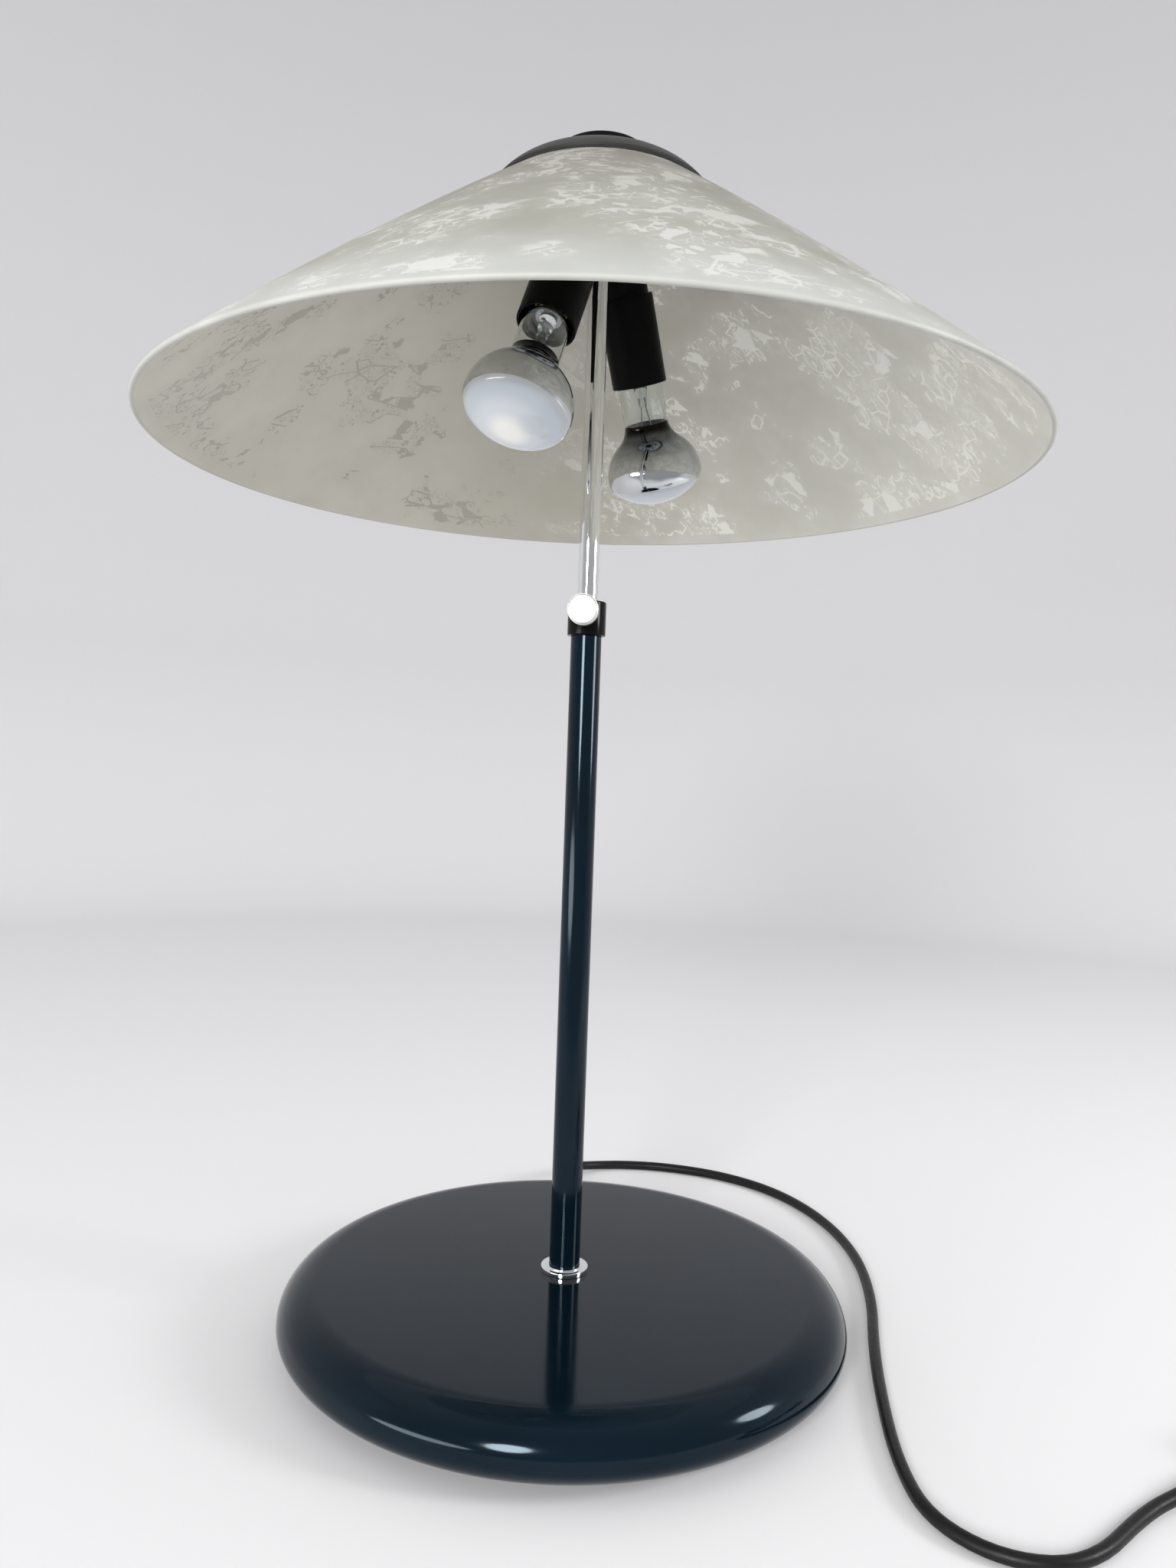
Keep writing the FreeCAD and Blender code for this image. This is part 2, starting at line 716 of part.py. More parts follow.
def make_carrier():
    depth, wall = carrier_depth, carrier_wall
    rim = (carrier_rim_radius, glass.height(carrier_rim_radius, depth))
    rim_in = (carrier_rim_radius, glass.height(carrier_rim_radius, depth + wall))
    bend = (carrier_bend_radius, carrier_top_z)
    under = carrier_top_z - wall
    bend_in = (glass.reach(under, depth + wall), under)
    bore = m10_radius + m10_gap
    outline = [(bore, carrier_top_z), bend, rim, rim_in, bend_in, (bore, under)]
    body = revolve(path(outline + outline[:1]))
    hole = moved(cylinder(carrier_hole_radius, under - 1, carrier_top_z + 1),
                 V(carrier_hole_circle, 0, 0))
    return body.cut([turned(hole, 360.0 * k / carrier_holes) for k in range(carrier_holes)])


def band(inner, outer, low, high):
    """A thin conical ring on the glass, between two depths below its outer surface."""
    a, b = (inner, glass.height(inner, low)), (outer, glass.height(outer, low))
    c, d = (outer, glass.height(outer, high)), (inner, glass.height(inner, high))
    return revolve([glass.piece(a, b, low), line(b, c), glass.piece(c, d, high), line(d, a)])


def make_cap():
    wall, rim, flat = cap_wall, cap_rim_radius, cap_flat_radius
    bow = Bow((flat, cap_top_z), (rim, cap_rim_z), cap_bulge)
    under, foot_z = cap_top_z - wall, cap_rim_z - 2 * wall
    rim_in = (rim - cap_foot, bow.height(rim - cap_foot, wall))
    flat_in = (bow.reach(under, wall), under)
    bore = m10_radius + cap_bore_gap
    edges = [bow.piece((flat, cap_top_z), (rim, cap_rim_z)), bow.piece(rim_in, flat_in, wall)]
    edges += path([(rim, cap_rim_z), (rim, foot_z), (rim - cap_foot, foot_z), rim_in])
    edges += path([flat_in, (bore, under), (bore, cap_top_z), (flat, cap_top_z)])
    return revolve(edges).cut(band(rim - 2 * cap_seal_width, rim + wall,
                                   -cap_seal_thickness, glass_wall))


def make_finial():
    """The captive washer, the brass insert and the turned knob."""
    bottom = cap_top_z + finial_gap
    ceiling = cap_top_z + finial_washer_thickness
    top = bottom + finial_height
    bore = m10_radius + stem_running_gap
    recess = finial_washer_radius + finial_washer_gap
    side = bottom + finial_side
    washer = ring(finial_washer_radius, bore, cap_top_z, ceiling)
    insert = ring(finial_insert_radius, bore, ceiling, ceiling + finial_insert_height)
    edges = [quarter((finial_radius, side), (finial_radius, top), (0, top))]
    edges += path([(0, top), (0, top - finial_roof), (bore, top - finial_roof),
                   (bore, ceiling + finial_insert_height),
                   (finial_insert_radius, ceiling + finial_insert_height),
                   (finial_insert_radius, ceiling), (recess, ceiling), (recess, bottom),
                   (finial_radius, bottom), (finial_radius, side)])
    return washer, insert, revolve(edges)


def make_gland():
    """The gland seats on the base's rolled edge, with its shank through the wall."""
    outside = base_radius + gland_flange
    flange = gland_axis(gland_flange_radius, base_lip_radius, outside).cut(base_envelope())
    inside = math.sqrt(base_radius ** 2 - gland_x ** 2) - gland_shank
    shank = gland_axis(gland_shank_radius, inside, outside)
    return flange.fuse(shank).cut(gland_axis(cord_radius, inside - 1, outside + 1))


def make_relief():
    """A tapered rubber sleeve with ribs, that the cord leaves."""
    start = base_radius + gland_flange
    body = Part.makeCone(relief_start_radius, relief_end_radius, relief_length,
                         V(gland_x, start, gland_z), V(0, 1, 0))
    step = relief_length / (relief_ribs + 1)
    for k in range(1, relief_ribs + 1):
        at = start + step * k
        share = k / (relief_ribs + 1)
        radius = relief_start_radius + (relief_end_radius - relief_start_radius) * share
        groove = gland_axis(radius + 1, at, at + step / 2)
        body = body.cut(groove.cut(gland_axis(radius - relief_rib, at, at + step / 2)))
    return body


def make_terminal_block():
    block = Part.makeBox(block_width, block_length, block_height,
                         V(gland_x - block_width / 2, block_y, plate_top_z))
    hole_y = block_y + block_length / 2
    holes = [Part.makeCylinder(1.6, 5, V(gland_x + dx, hole_y + dy, plate_top_z + block_height - 4))
             for dx in (-4, 4) for dy in (-6, 6)]
    return block.cut(holes)


def round_path(points, name):
    """Straight runs joined by arcs, each as large as its two runs allow. Prints the radii."""
    points = [V(*p) for p in points]
    edges, radii, start = [], [], points[0]
    for a, b, c in zip(points, points[1:], points[2:]):
        before, after = (b - a), (c - b)
        half = before.getAngle(after) / 2
        shorter = min(before.Length, after.Length)
        cut = 0.45 * shorter
        radius = cut / math.tan(half)
        first = b - before.normalize() * cut
        last = b + after.normalize() * cut
        inward = (first + last) * 0.5 - b
        center_way = inward.normalize()
        middle = b + center_way * (radius / math.cos(half) - radius)
        edges.append(Part.LineSegment(start, first).toShape())
        edges.append(Part.Arc(first, middle, last).toShape())
        radii.append(radius)
        start = last
    edges.append(Part.LineSegment(start, points[-1]).toShape())
    wire = Part.Wire(edges)
    print(name, "length %.1f" % wire.Length, "radii", " ".join("%.0f" % r for r in radii))
    return wire


def tube(wire, radius, name):
    """A round tube along a wire, with its volume set against its section times its length."""
    first = wire.OrderedEdges[0]
    start = first.valueAt(first.FirstParameter)
    way = first.tangentAt(first.FirstParameter)
    circle = Part.Wire(Part.makeCircle(radius, start, way))
    solid = wire.makePipeShell([circle], True, False)
    expected = math.pi * radius ** 2 * wire.Length
    print(name, "volume over section times length %.4f" % (solid.Volume / expected))
    return solid


def cord(points, radius, name):
    return tube(round_path(points, name), radius, name)


def coil_at(turn):
    """A point of the coil's middle line after so many turns, clockwise from its right side."""
    pitch = 2 * cord_radius + coil_gap
    from_middle = turn - coil_turns
    radius = coil_outer - pitch * (coil_turns - abs(from_middle))
    climb = min(max(from_middle * 2 + 0.5, 0.0), 1.0)
    rise = pitch * climb * climb * (3 - 2 * climb)
    angle = -2 * math.pi * turn
    return V(coil_x + radius * math.cos(angle), coil_y + radius * math.sin(angle), coil_z + rise)


def coil_way(turn):
    step = 1e-4
    way = coil_at(turn + step) - coil_at(turn - step)
    return way.normalize()


def arc_from(a, way, b):
    """The arc that leaves a along way and ends at b."""
    chord = b - a
    across = way - chord * (way.dot(chord) / chord.dot(chord))
    half = way.getAngle(chord) / 2
    if across.Length < 1e-6:
        return Part.LineSegment(a, b).toShape()
    middle = (a + b) * 0.5 + across.normalize() * (chord.Length / 2 * math.tan(half))
    return Part.Arc(a, middle, b).toShape()


def coil_wire():
    """Two arcs for each quarter turn, with a straight end of one cord diameter at each end."""
    total = 2 * coil_turns + coil_extra
    count = int(round(total * 4))
    turns = [total * k / count for k in range(count + 1)]
    points = [coil_at(t) for t in turns]
    ways = [coil_way(t) for t in turns]
    ways[0] = V(0, -1, 0)
    ways[-1] = V(-1, 0, 0)
    edges = [Part.LineSegment(points[0] - ways[0] * 2 * cord_radius, points[0]).toShape()]
    for a, b, t, u in zip(points, points[1:], ways, ways[1:]):
        chord, both = b - a, t + u
        spread = 2 * (1 - t.dot(u))
        along = chord.dot(both)
        reach = (-along + math.sqrt(along ** 2 + spread * chord.dot(chord))) / spread
        joint = (a + b + (t - u) * reach) * 0.5
        edges.append(arc_from(a, t, joint))
        edges.append(arc_from(b, u * -1, joint))
    edges.append(Part.LineSegment(points[-1], points[-1] + ways[-1] * 2 * cord_radius).toShape())
    wire = Part.Wire(Part.__sortEdges__(edges))
    gaps = []
    dense = [(total * k / 600, coil_at(total * k / 600)) for k in range(601)]
    for i, (t, p) in enumerate(dense):
        gaps += [(p - q).Length for s, q in dense[i + 1:] if s - t > 0.5]
    print("coil length %.1f" % wire.Length, "gap to itself %.2f" % (min(gaps) - 2 * cord_radius))
    return wire


def make_tie():
    """A band round all the turns, on the side of the coil away from the climb."""
    pitch = 2 * cord_radius + coil_gap
    half_turn = 0.5 * pitch
    inner = coil_outer - pitch * coil_turns + half_turn - cord_radius - tie_side_gap
    outer = coil_outer - half_turn + cord_radius + tie_side_gap
    top = coil_z + pitch + cord_radius + tie_gap
    bottom = coil_z - cord_radius - tie_gap
    wall = tie_thickness
    solid = Part.makeBox(outer - inner + 2 * wall, tie_width, top - bottom + 2 * wall,
                         V(coil_x - outer - wall, coil_y - tie_width / 2, bottom - wall))
    hole = Part.makeBox(outer - inner, tie_width + 2, top - bottom,
                        V(coil_x - outer, coil_y - tie_width / 2 - 1, bottom))
    ends = [e for e in solid.Edges if abs(e.Length - tie_width) < 0.01]
    return solid.makeFillet(wall, ends).cut(hole)


def switch_place(shape):
    copy = shape.copy()
    copy.rotate(ORIGIN, UP, switch_heading)
    x, y, _ = route_to_switch[-1]
    copy.translate(V(x, y, 0))
    return copy


def rounded_block(x, length, width, height, corner):
    """A block that stands on the floor along X, with rounded upright corners."""
    body = Part.makeBox(length, width, height, V(x, -width / 2, 0))
    upright = [e for e in body.Edges if abs(e.Length - height) < 0.01
               and abs(e.tangentAt(e.FirstParameter).z) > 0.99]
    return body.makeFillet(corner, upright)


def make_switch():
    """The lower and upper shells, the two reliefs and the rocker."""
    axis_z = route_to_switch[-1][2]
    start = switch_relief
    end = start + switch_body
    middle = start + switch_body / 2
    body = rounded_block(start, switch_body, switch_width, switch_height, switch_corner)
    rims = [e for e in body.Edges if min(abs(v.Z - z) for v in e.Vertexes
                                         for z in (0, switch_height)) < 0.01
            and abs(e.BoundBox.ZLength) < 0.01]
    body = body.makeFillet(switch_edge, rims)
    size = (switch_body + 2, switch_width + 2)
    lower_space = Part.makeBox(size[0], size[1], switch_split_z + 1,
                               V(start - 1, -size[1] / 2, -1))
    base = body.common(lower_space)
    cover = body.cut(lower_space)
    half = rocker_half + rocker_end_gap
    wide = rocker_width / 2 + rocker_side_gap
    well = Part.makeBox(2 * half, 2 * wide, switch_height, V(middle - half, -wide, rocker_well_z))
    pin_hole = Part.makeCylinder(rocker_pin_radius + rocker_pin_gap,
                                 2 * wide + 2 * rocker_pin_length,
                                 V(middle, -wide - rocker_pin_length, rocker_pivot_z),
                                 V(0, 1, 0))
    cover = cover.cut([well, pin_hole])
    reliefs = []
    for x, way in ((start, -1), (end, 1)):
        reliefs.append(Part.makeCone(switch_relief_radius, cord_radius + 0.6, switch_relief,
                                     V(x, 0, axis_z), V(way, 0, 0)))
    outline = [(-rocker_half, rocker_low_z), (-rocker_half, rocker_high_z), (0, rocker_middle_z),
               (rocker_half, rocker_high_z), (rocker_half, rocker_low_z), (0, rocker_keel_z)]
    face = Part.Face(Part.Wire(path(outline + outline[:1])))
    rocker = moved(face, V(0, -rocker_width / 2, 0)).extrude(V(0, rocker_width, 0))
    pin_reach = rocker_width / 2 + rocker_side_gap + rocker_pin_length - rocker_pin_gap
    rocker = rocker.fuse(Part.makeCylinder(rocker_pin_radius, 2 * pin_reach,
                                           V(0, -pin_reach, rocker_pivot_z), V(0, 1, 0)))
    rocker.rotate(V(0, 0, rocker_pivot_z), V(0, 1, 0), -rocker_tilt)
    rocker.translate(V(middle, 0, 0))
    pieces = (base, cover, Part.makeCompound(reliefs), rocker)
    return [switch_place(piece) for piece in pieces]


def make_plug():
    """A flat two-pin plug that lies on the floor with its cord end toward the coil."""
    x, y, z = route_to_plug[-1]
    relief = Part.makeCone(cord_radius + 0.7, plug_relief_radius, plug_relief,
                           V(0, 0, z), V(1, 0, 0))
    back, front = plug_relief, plug_relief + plug_length
    waist = back + plug_length * 0.55
    low, high = z - plug_height / 2, z + plug_height / 2
    half_back, half_front = plug_back_width / 2, plug_width / 2
    outline = [V(back, -half_back, low), V(waist, -half_back - 1, low), V(front, -half_front, low),
               V(front, half_front, low), V(waist, half_back + 1, low), V(back, half_back, low)]
    face = Part.Face(Part.makePolygon(outline + outline[:1]))
    body = face.extrude(V(0, 0, high - low))
    body = body.makeFillet(plug_edge, body.Edges)
    body = body.fuse(relief)
    pins = []
    for side in (-1, 1):
        pin = Part.makeCylinder(pin_radius, pin_length, V(front, side * pin_spacing / 2, z),
                                V(1, 0, 0))
        tips = [e for e in pin.Edges if abs(e.CenterOfMass.x - front - pin_length) < 0.01]
        pins.append(pin.makeFillet(pin_radius * 0.45, tips))
    placed = []
    for piece in (body, Part.makeCompound(pins)):
        piece.rotate(ORIGIN, UP, 180)
        piece.translate(V(x, y, 0))
        placed.append(piece)
    return placed


def make_lamp_leads():
    """Up the stem, out of its hole, and down each holder's nipple to the insert."""
    nipple_low = holder_length - holder_nipple_down
    insert_top = insert_bottom + insert_thickness
    over = (wire_hole_z - mouth_z) / math.cos(splay)

    def on_lamp(height, aside=0.0):
        return (mouth_radius - height * math.sin(splay) + aside * math.cos(splay), 0,
                mouth_z + height * math.cos(splay) + aside * math.sin(splay))

    bend = (insert_top + nipple_low) / 2
    points = [(0, 0, wire_hole_z), on_lamp(over), on_lamp(nipple_low + 1),
              on_lamp(bend, lamp_lead_aside), on_lamp(insert_top, lamp_lead_aside)]
    lead = cord(points, lamp_lead_radius, "lamp lead")
    stem_lead = cylinder(stem_lead_radius, stem_bottom_z, wire_hole_z + wire_hole_radius)
    return stem_lead.fuse([turned(lead, lamp_azimuth), turned(lead, lamp_azimuth + 180)])


def make_pole_nut():
    """A flange nut, under the weight's recess."""
    flange_bottom = nut_top_z - pole_nut_flange
    nut = hexagon(pole_nut_flats, nut_top_z - pole_nut_thickness, flange_bottom, nipple_radius)
    return nut.fuse(ring(pole_nut_flange_radius, nipple_radius, flange_bottom, nut_top_z))


def both_lamps(shape):
    return Part.makeCompound([lamp_place(shape, 0), lamp_place(shape, 1)])


save("base_cover", make_base_cover())
save("base_weight", make_base_weight())
save("bottom_plate", make_bottom_plate())
save("foot_pad", make_foot_pad())
save("plate_screws", make_plate_screws())
save("pole_nipple", make_pole_nipple())
save("pole_nut", make_pole_nut())
save("foot_ring", make_foot_ring())
save("pole_tube", ring(pole_radius, pole_bore_radius, base_top_z, pole_top_z))
save("guide_bush", ring(pole_bore_radius, stem_radius + stem_running_gap,
                        pole_top_z - bush_length, pole_top_z))
save("clamp_collar", make_collar())
for name, piece in zip(("clamp_pad", "clamp_screw", "clamp_knob"), make_clamp_pieces()):
    save(name, piece)

save("stem_tube", make_stem())
save("stem_guide", make_stem_guide())
save("guide_clips", make_guide_clips())
save("bracket_collar", ring(bracket_collar_radius, m10_radius,
                            bracket_z - bracket_collar_height, bracket_z))
save("lamp_bracket", make_bracket())
save("stem_nuts", make_stem_nuts())
save("lamp_leads", make_lamp_leads())

skirt, holder_cap, insert, shell, nipple, nut = make_holder()
bulb = make_bulb()
contact = make_contact()
save("socket_inserts", both_lamps(insert))
save("thread_shells", both_lamps(shell))
save("holder_nipples", both_lamps(nipple))
save("holder_nuts", both_lamps(nut))
for side, word in enumerate(("left", "right")):
    save("holder_skirt_%s" % word, lamp_place(skirt, side))
    save("holder_cap_%s" % word, lamp_place(holder_cap, side))
    save("center_contact_%s" % word, lamp_place(contact, side))
    for name, piece in zip(("bulb_envelope", "bulb_cap", "bulb_mount"), bulb):
        save("%s_%s" % (name, word), lamp_place(piece, side))

save("glass_shade", make_glass())
save("glass_carrier", make_carrier())
save("carrier_gasket", band(carrier_bend_radius + gasket_inset, carrier_rim_radius - gasket_inset,
                            glass_wall, carrier_depth))
save("cap_seal", band(cap_rim_radius - cap_seal_width, cap_rim_radius, -cap_seal_thickness, 0))
save("top_cap", make_cap())
for name, piece in zip(("finial_washer", "finial_insert", "finial_knob"), make_finial()):
    save(name, piece)

save("cord_gland", make_gland())
save("strain_relief", make_relief())
save("terminal_block", make_terminal_block())
gland_inside = math.sqrt(base_radius ** 2 - gland_x ** 2) - gland_shank
block_back = block_y + block_length
entry_z = plate_top_z + block_height * 0.57
inner_cord = cord([(gland_x, gland_inside, gland_z), (gland_x, gland_inside - 15, gland_z),
                   (gland_x, block_back + 15, entry_z), (gland_x, block_back, entry_z)],
                  cord_radius, "inner cord")
lead_z = plate_top_z + 4.5
pole_lead = cord([(gland_x, block_y, lead_z), (gland_x, block_y - 14, lead_z),
                  (gland_x + 1, 28, lead_z - 0.3), (0, 12, lead_z), (0, 0, lead_z),
                  (0, 0, base_top_z + nipple_plug_length)], pole_lead_radius, "pole lead")
save("inner_leads", Part.makeCompound([inner_cord, pole_lead]))
save("mains_cord", cord(route_to_switch, cord_radius, "mains cord"))
save("link_cord", cord(route_to_coil, cord_radius, "link cord"))
save("cord_coil", tube(coil_wire(), cord_radius, "coil"))
save("tail_cord", cord(route_to_plug, cord_radius, "tail cord"))
save("cord_tie", make_tie())
for name, piece in zip(("switch_base", "switch_cover", "switch_reliefs", "switch_rocker"),
                       make_switch()):
    save(name, piece)
for name, piece in zip(("plug_body", "plug_pins"), make_plug()):
    save(name, piece)
print("cap top", round(cap_top_z, 2), "stem top", round(stem_top_z, 2))
print("mouth", round(mouth_radius, 2), round(mouth_z, 2))
print("carrier top", round(carrier_top_z, 2))
end = coil_at(2 * coil_turns + coil_extra)
print("coil end", [round(v, 2) for v in end], "start", [round(v, 2) for v in coil_at(0)])
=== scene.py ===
import math

import bmesh
import bpy
from mathutils import Matrix, Vector


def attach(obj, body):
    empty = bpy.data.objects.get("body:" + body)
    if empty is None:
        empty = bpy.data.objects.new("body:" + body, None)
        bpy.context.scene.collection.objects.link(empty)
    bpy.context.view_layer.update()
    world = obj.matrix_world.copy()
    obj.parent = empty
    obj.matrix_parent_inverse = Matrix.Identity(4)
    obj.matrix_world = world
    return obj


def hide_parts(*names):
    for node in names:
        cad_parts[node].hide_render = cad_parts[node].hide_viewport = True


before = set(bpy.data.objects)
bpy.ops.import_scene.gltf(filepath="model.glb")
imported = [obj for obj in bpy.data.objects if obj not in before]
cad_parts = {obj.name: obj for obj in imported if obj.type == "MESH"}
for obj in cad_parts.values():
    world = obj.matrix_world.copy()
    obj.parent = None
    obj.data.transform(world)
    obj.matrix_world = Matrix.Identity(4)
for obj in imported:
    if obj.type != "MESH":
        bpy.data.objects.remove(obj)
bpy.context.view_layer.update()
MM = 0.001


# Weight in the base
# A gray cast iron disc that keeps the lamp upright. It is hidden between the cover and the
# bottom plate, and the pole's nut clamps it under the cover.

def linear(code):
    """A six-digit sRGB color as the linear color that a shader takes."""
    parts = [int(code[i:i + 2], 16) / 255 for i in (0, 2, 4)]
    return [c / 12.92 if c <= 0.04045 else ((c + 0.055) / 1.055) ** 2.4 for c in parts] + [1.0]


def add_node(tree, kind, inputs=(), **settings):
    """Adds a node with its settings, and links or sets its inputs, by name or by number."""
    node = tree.nodes.new(kind)
    for name, value in settings.items():
        setattr(node, name, value)
    for key, value in dict(inputs).items():
        socket = node.inputs[key]
        if isinstance(value, bpy.types.NodeSocket):
            tree.links.new(value, socket)
        else:
            socket.default_value = value
    return node


def start_material(name, color, roughness, metallic=0.0, **sockets):
    """A material with one Principled shader. Further sockets are given by name."""
    material = bpy.data.materials.new(name)
    material.use_nodes = True
    material.diffuse_color = linear(color)
    shader = material.node_tree.nodes["Principled BSDF"]
    shader.inputs["Base Color"].default_value = linear(color)
    shader.inputs["Roughness"].default_value = roughness
    shader.inputs["Metallic"].default_value = metallic
    for key, value in sockets.items():
        shader.inputs[key.replace("_", " ")].default_value = value
    return material


def feed(material, label, socket):
    """Links a socket to the material's shader."""
    tree = material.node_tree
    tree.links.new(socket, tree.nodes["Principled BSDF"].inputs[label])
    return material


def in_mm(tree):
    """Object coordinates in millimetres."""
    place = add_node(tree, "ShaderNodeTexCoord")
    return add_node(tree, "ShaderNodeVectorMath", {0: place.outputs["Object"], "Scale": 1000.0},
                    operation="SCALE").outputs[0]


def color_ramp(tree, value, steps, interpolation="EASE"):
    """The color that a value has on a ramp of (position, hex color) steps."""
    ramp = add_node(tree, "ShaderNodeValToRGB", {"Fac": value})
    ramp.color_ramp.interpolation = interpolation
    while len(ramp.color_ramp.elements) < len(steps):
        ramp.color_ramp.elements.new(0.5)
    for stop, (position, color) in zip(ramp.color_ramp.elements, steps):
        stop.position = position
        stop.color = linear(color)
    return ramp.outputs["Color"]


def stretch(tree, value, start, end, low=0.0, high=1.0, **settings):
    """A value from start to end as a number from low to high."""
    return add_node(tree, "ShaderNodeMapRange",
                    {"Value": value, "From Min": start, "From Max": end, "To Min": low,
                     "To Max": high}, **settings).outputs["Result"]


def patches(tree, place, size, detail, roughness=0.5):
    """Noise at a place in mm, in patches of that size."""
    return add_node(tree, "ShaderNodeTexNoise", {"Vector": place, "Scale": 1 / size,
                                                 "Detail": detail, "Roughness": roughness})


def mottle(material, light, dark, size):
    """Color that drifts between two hex values over patches of that size in mm."""
    tree = material.node_tree
    noise = patches(tree, in_mm(tree), size, 4.0).outputs["Fac"]
    return feed(material, "Base Color",
                color_ramp(tree, noise, ((0.25, dark), (0.75, light)), "LINEAR"))


def add_bump(material, relief, height, strength=1.0):
    """A bump of that height in mm."""
    bump = add_node(material.node_tree, "ShaderNodeBump",
                    {"Height": relief, "Distance": height * MM, "Strength": strength})
    return feed(material, "Normal", bump.outputs["Normal"])


def roughen(material, low, high, size, height=0.0):
    """Roughness that varies over patches of that size in mm, and a bump of that height in mm."""
    tree = material.node_tree
    noise = patches(tree, in_mm(tree), size, 5.0).outputs["Fac"]
    if height:
        add_bump(material, noise, height)
    return feed(material, "Roughness", stretch(tree, noise, 0.3, 0.7, low, high))


def dress(material, *names):
    """Gives CAD nodes their finish."""
    for name in names:
        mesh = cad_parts[name].data
        mesh.materials.clear()
        mesh.materials.append(material)


# As cast, the iron is dark and grainy, with a sand texture about a millimetre across.
cast_iron = start_material("gray_cast_iron", "4A4A4C", 0.7, 0.6)
mottle(cast_iron, "555557", "3E3E40", 6.0)
roughen(cast_iron, 0.6, 0.8, 1.2, 0.15)
dress(cast_iron, "base_weight")


# Bottom plate and fixings
# A zinc-plated steel plate closes the base from below. The same plating is on the pole's
# nipple and nut, and on the bracket, carrier and nuts in the head.

# Zinc plate is a soft gray metal whose crystals give faint patches.
zinc_plate = start_material("zinc_plated_steel", "A9ACAE", 0.35, 1.0)
mottle(zinc_plate, "B4B7B9", "9A9DA0", 3.0)
roughen(zinc_plate, 0.28, 0.45, 2.0)
dress(zinc_plate, "bottom_plate", "pole_nipple", "pole_nut", "guide_clips", "stem_nuts",
      "lamp_bracket", "glass_carrier", "holder_nipples", "holder_nuts", "finial_washer")


# Plate screws
# Three zinc-plated pan head screws with cross recesses hold the bottom plate to the bosses
# on the weight. The geometry tree puts one screw at each boss.

def turned(name, outline, around=160, closed=True):
    """A mesh swept round Z from an outline of (radius, height) points in mm.

    Each face's material number is at first the number of its step along the outline."""
    form = bmesh.new()
    rings = []
    for radius, height in outline:
        count = 1 if radius < 1e-6 else around
        steps = [2 * math.pi * k / count for k in range(count)]
        rings.append([form.verts.new((radius * MM * math.cos(a), radius * MM * math.sin(a),
                                      height * MM)) for a in steps])
    pairs = list(zip(rings, rings[1:]))
    if closed:
        pairs.append((rings[-1], rings[0]))
    for step, (a, b) in enumerate(pairs):
        for k in range(around):
            n = k + 1
            corners = (a[k % len(a)], a[n % len(a)], b[n % len(b)], b[k % len(b)])
            face = list(dict.fromkeys(corners))
            if len(face) > 2:
                form.faces.new(face).material_index = step
    bmesh.ops.recalc_face_normals(form, faces=form.faces)
    return mesh_of(form, name)


def mesh_of(form, name):
    """The mesh of a form that is being worked, which is then let go."""
    mesh = bpy.data.meshes.new(name)
    form.to_mesh(mesh)
    form.free()
    return mesh


def rounded(corners, steps=5):
    """Outline points from corners (radius, height, rounding), each rounded by that much."""
    points = []
    for i, (x, z, cut) in enumerate(corners):
        if not cut:
            points.append((x, z))
            continue
        ends = []
        for other in (corners[i - 1], corners[(i + 1) % len(corners)]):
            away = math.hypot(other[0] - x, other[1] - z)
            ends.append((x + (other[0] - x) * cut / away, z + (other[1] - z) * cut / away))
        for k in range(steps + 1):
            t = k / steps
            points.append(tuple((1 - t) ** 2 * a + 2 * t * (1 - t) * c + t * t * b
                                for a, c, b in zip(ends[0], (x, z), ends[1])))
    return points


def place_object(name, data):
    """An object in the scene with that data."""
    thing = bpy.data.objects.new(name, data)
    bpy.context.scene.collection.objects.link(thing)
    return thing


def show(name, mesh, materials, body, slot, *nodes, zones=lambda step: 0, sharp=35.0):
    """Makes a piece of a mesh, smooth except at its edges, that stands for CAD nodes."""
    for face in mesh.polygons:
        face.material_index = zones(face.material_index)
        face.use_smooth = True
    for material in materials:
        mesh.materials.append(material)
    mesh.set_sharp_from_angle(angle=math.radians(sharp))
    piece = place_object(name, mesh)
    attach(piece, body)
    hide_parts(*nodes)
    return piece


def finished(thing, *tools):
    """The plain mesh of an object with its modifiers. The object and its tools are removed."""
    graph = bpy.context.evaluated_depsgraph_get()
    mesh = bpy.data.meshes.new_from_object(thing.evaluated_get(graph))
    for used in (*tools, thing):
        bpy.data.objects.remove(used)
    return mesh


def cut_out(mesh, *forms):
    """The mesh with forms cut out of it."""
    body = place_object("body", mesh)
    tools = []
    for form in forms:
        tools.append(place_object("tool", mesh_of(form, "tool")))
        cut = body.modifiers.new("cut", "BOOLEAN")
        cut.operation = "DIFFERENCE"
        cut.solver = "EXACT"
        cut.object = tools[-1]
    return finished(body, *tools)


def input_tree(name, sizes):
    """A geometry tree with named inputs, the last for its finish, and its inputs' sockets."""
    tree = bpy.data.node_groups.new(name, "GeometryNodeTree")
    tree.interface.new_socket("Geometry", in_out="INPUT", socket_type="NodeSocketGeometry")
    for label, kind in sizes + [("Finish", "Material")]:
        tree.interface.new_socket(label, in_out="INPUT", socket_type="NodeSocket" + kind)
    tree.interface.new_socket("Geometry", in_out="OUTPUT", socket_type="NodeSocketGeometry")
    return tree, tree.nodes.new("NodeGroupInput").outputs


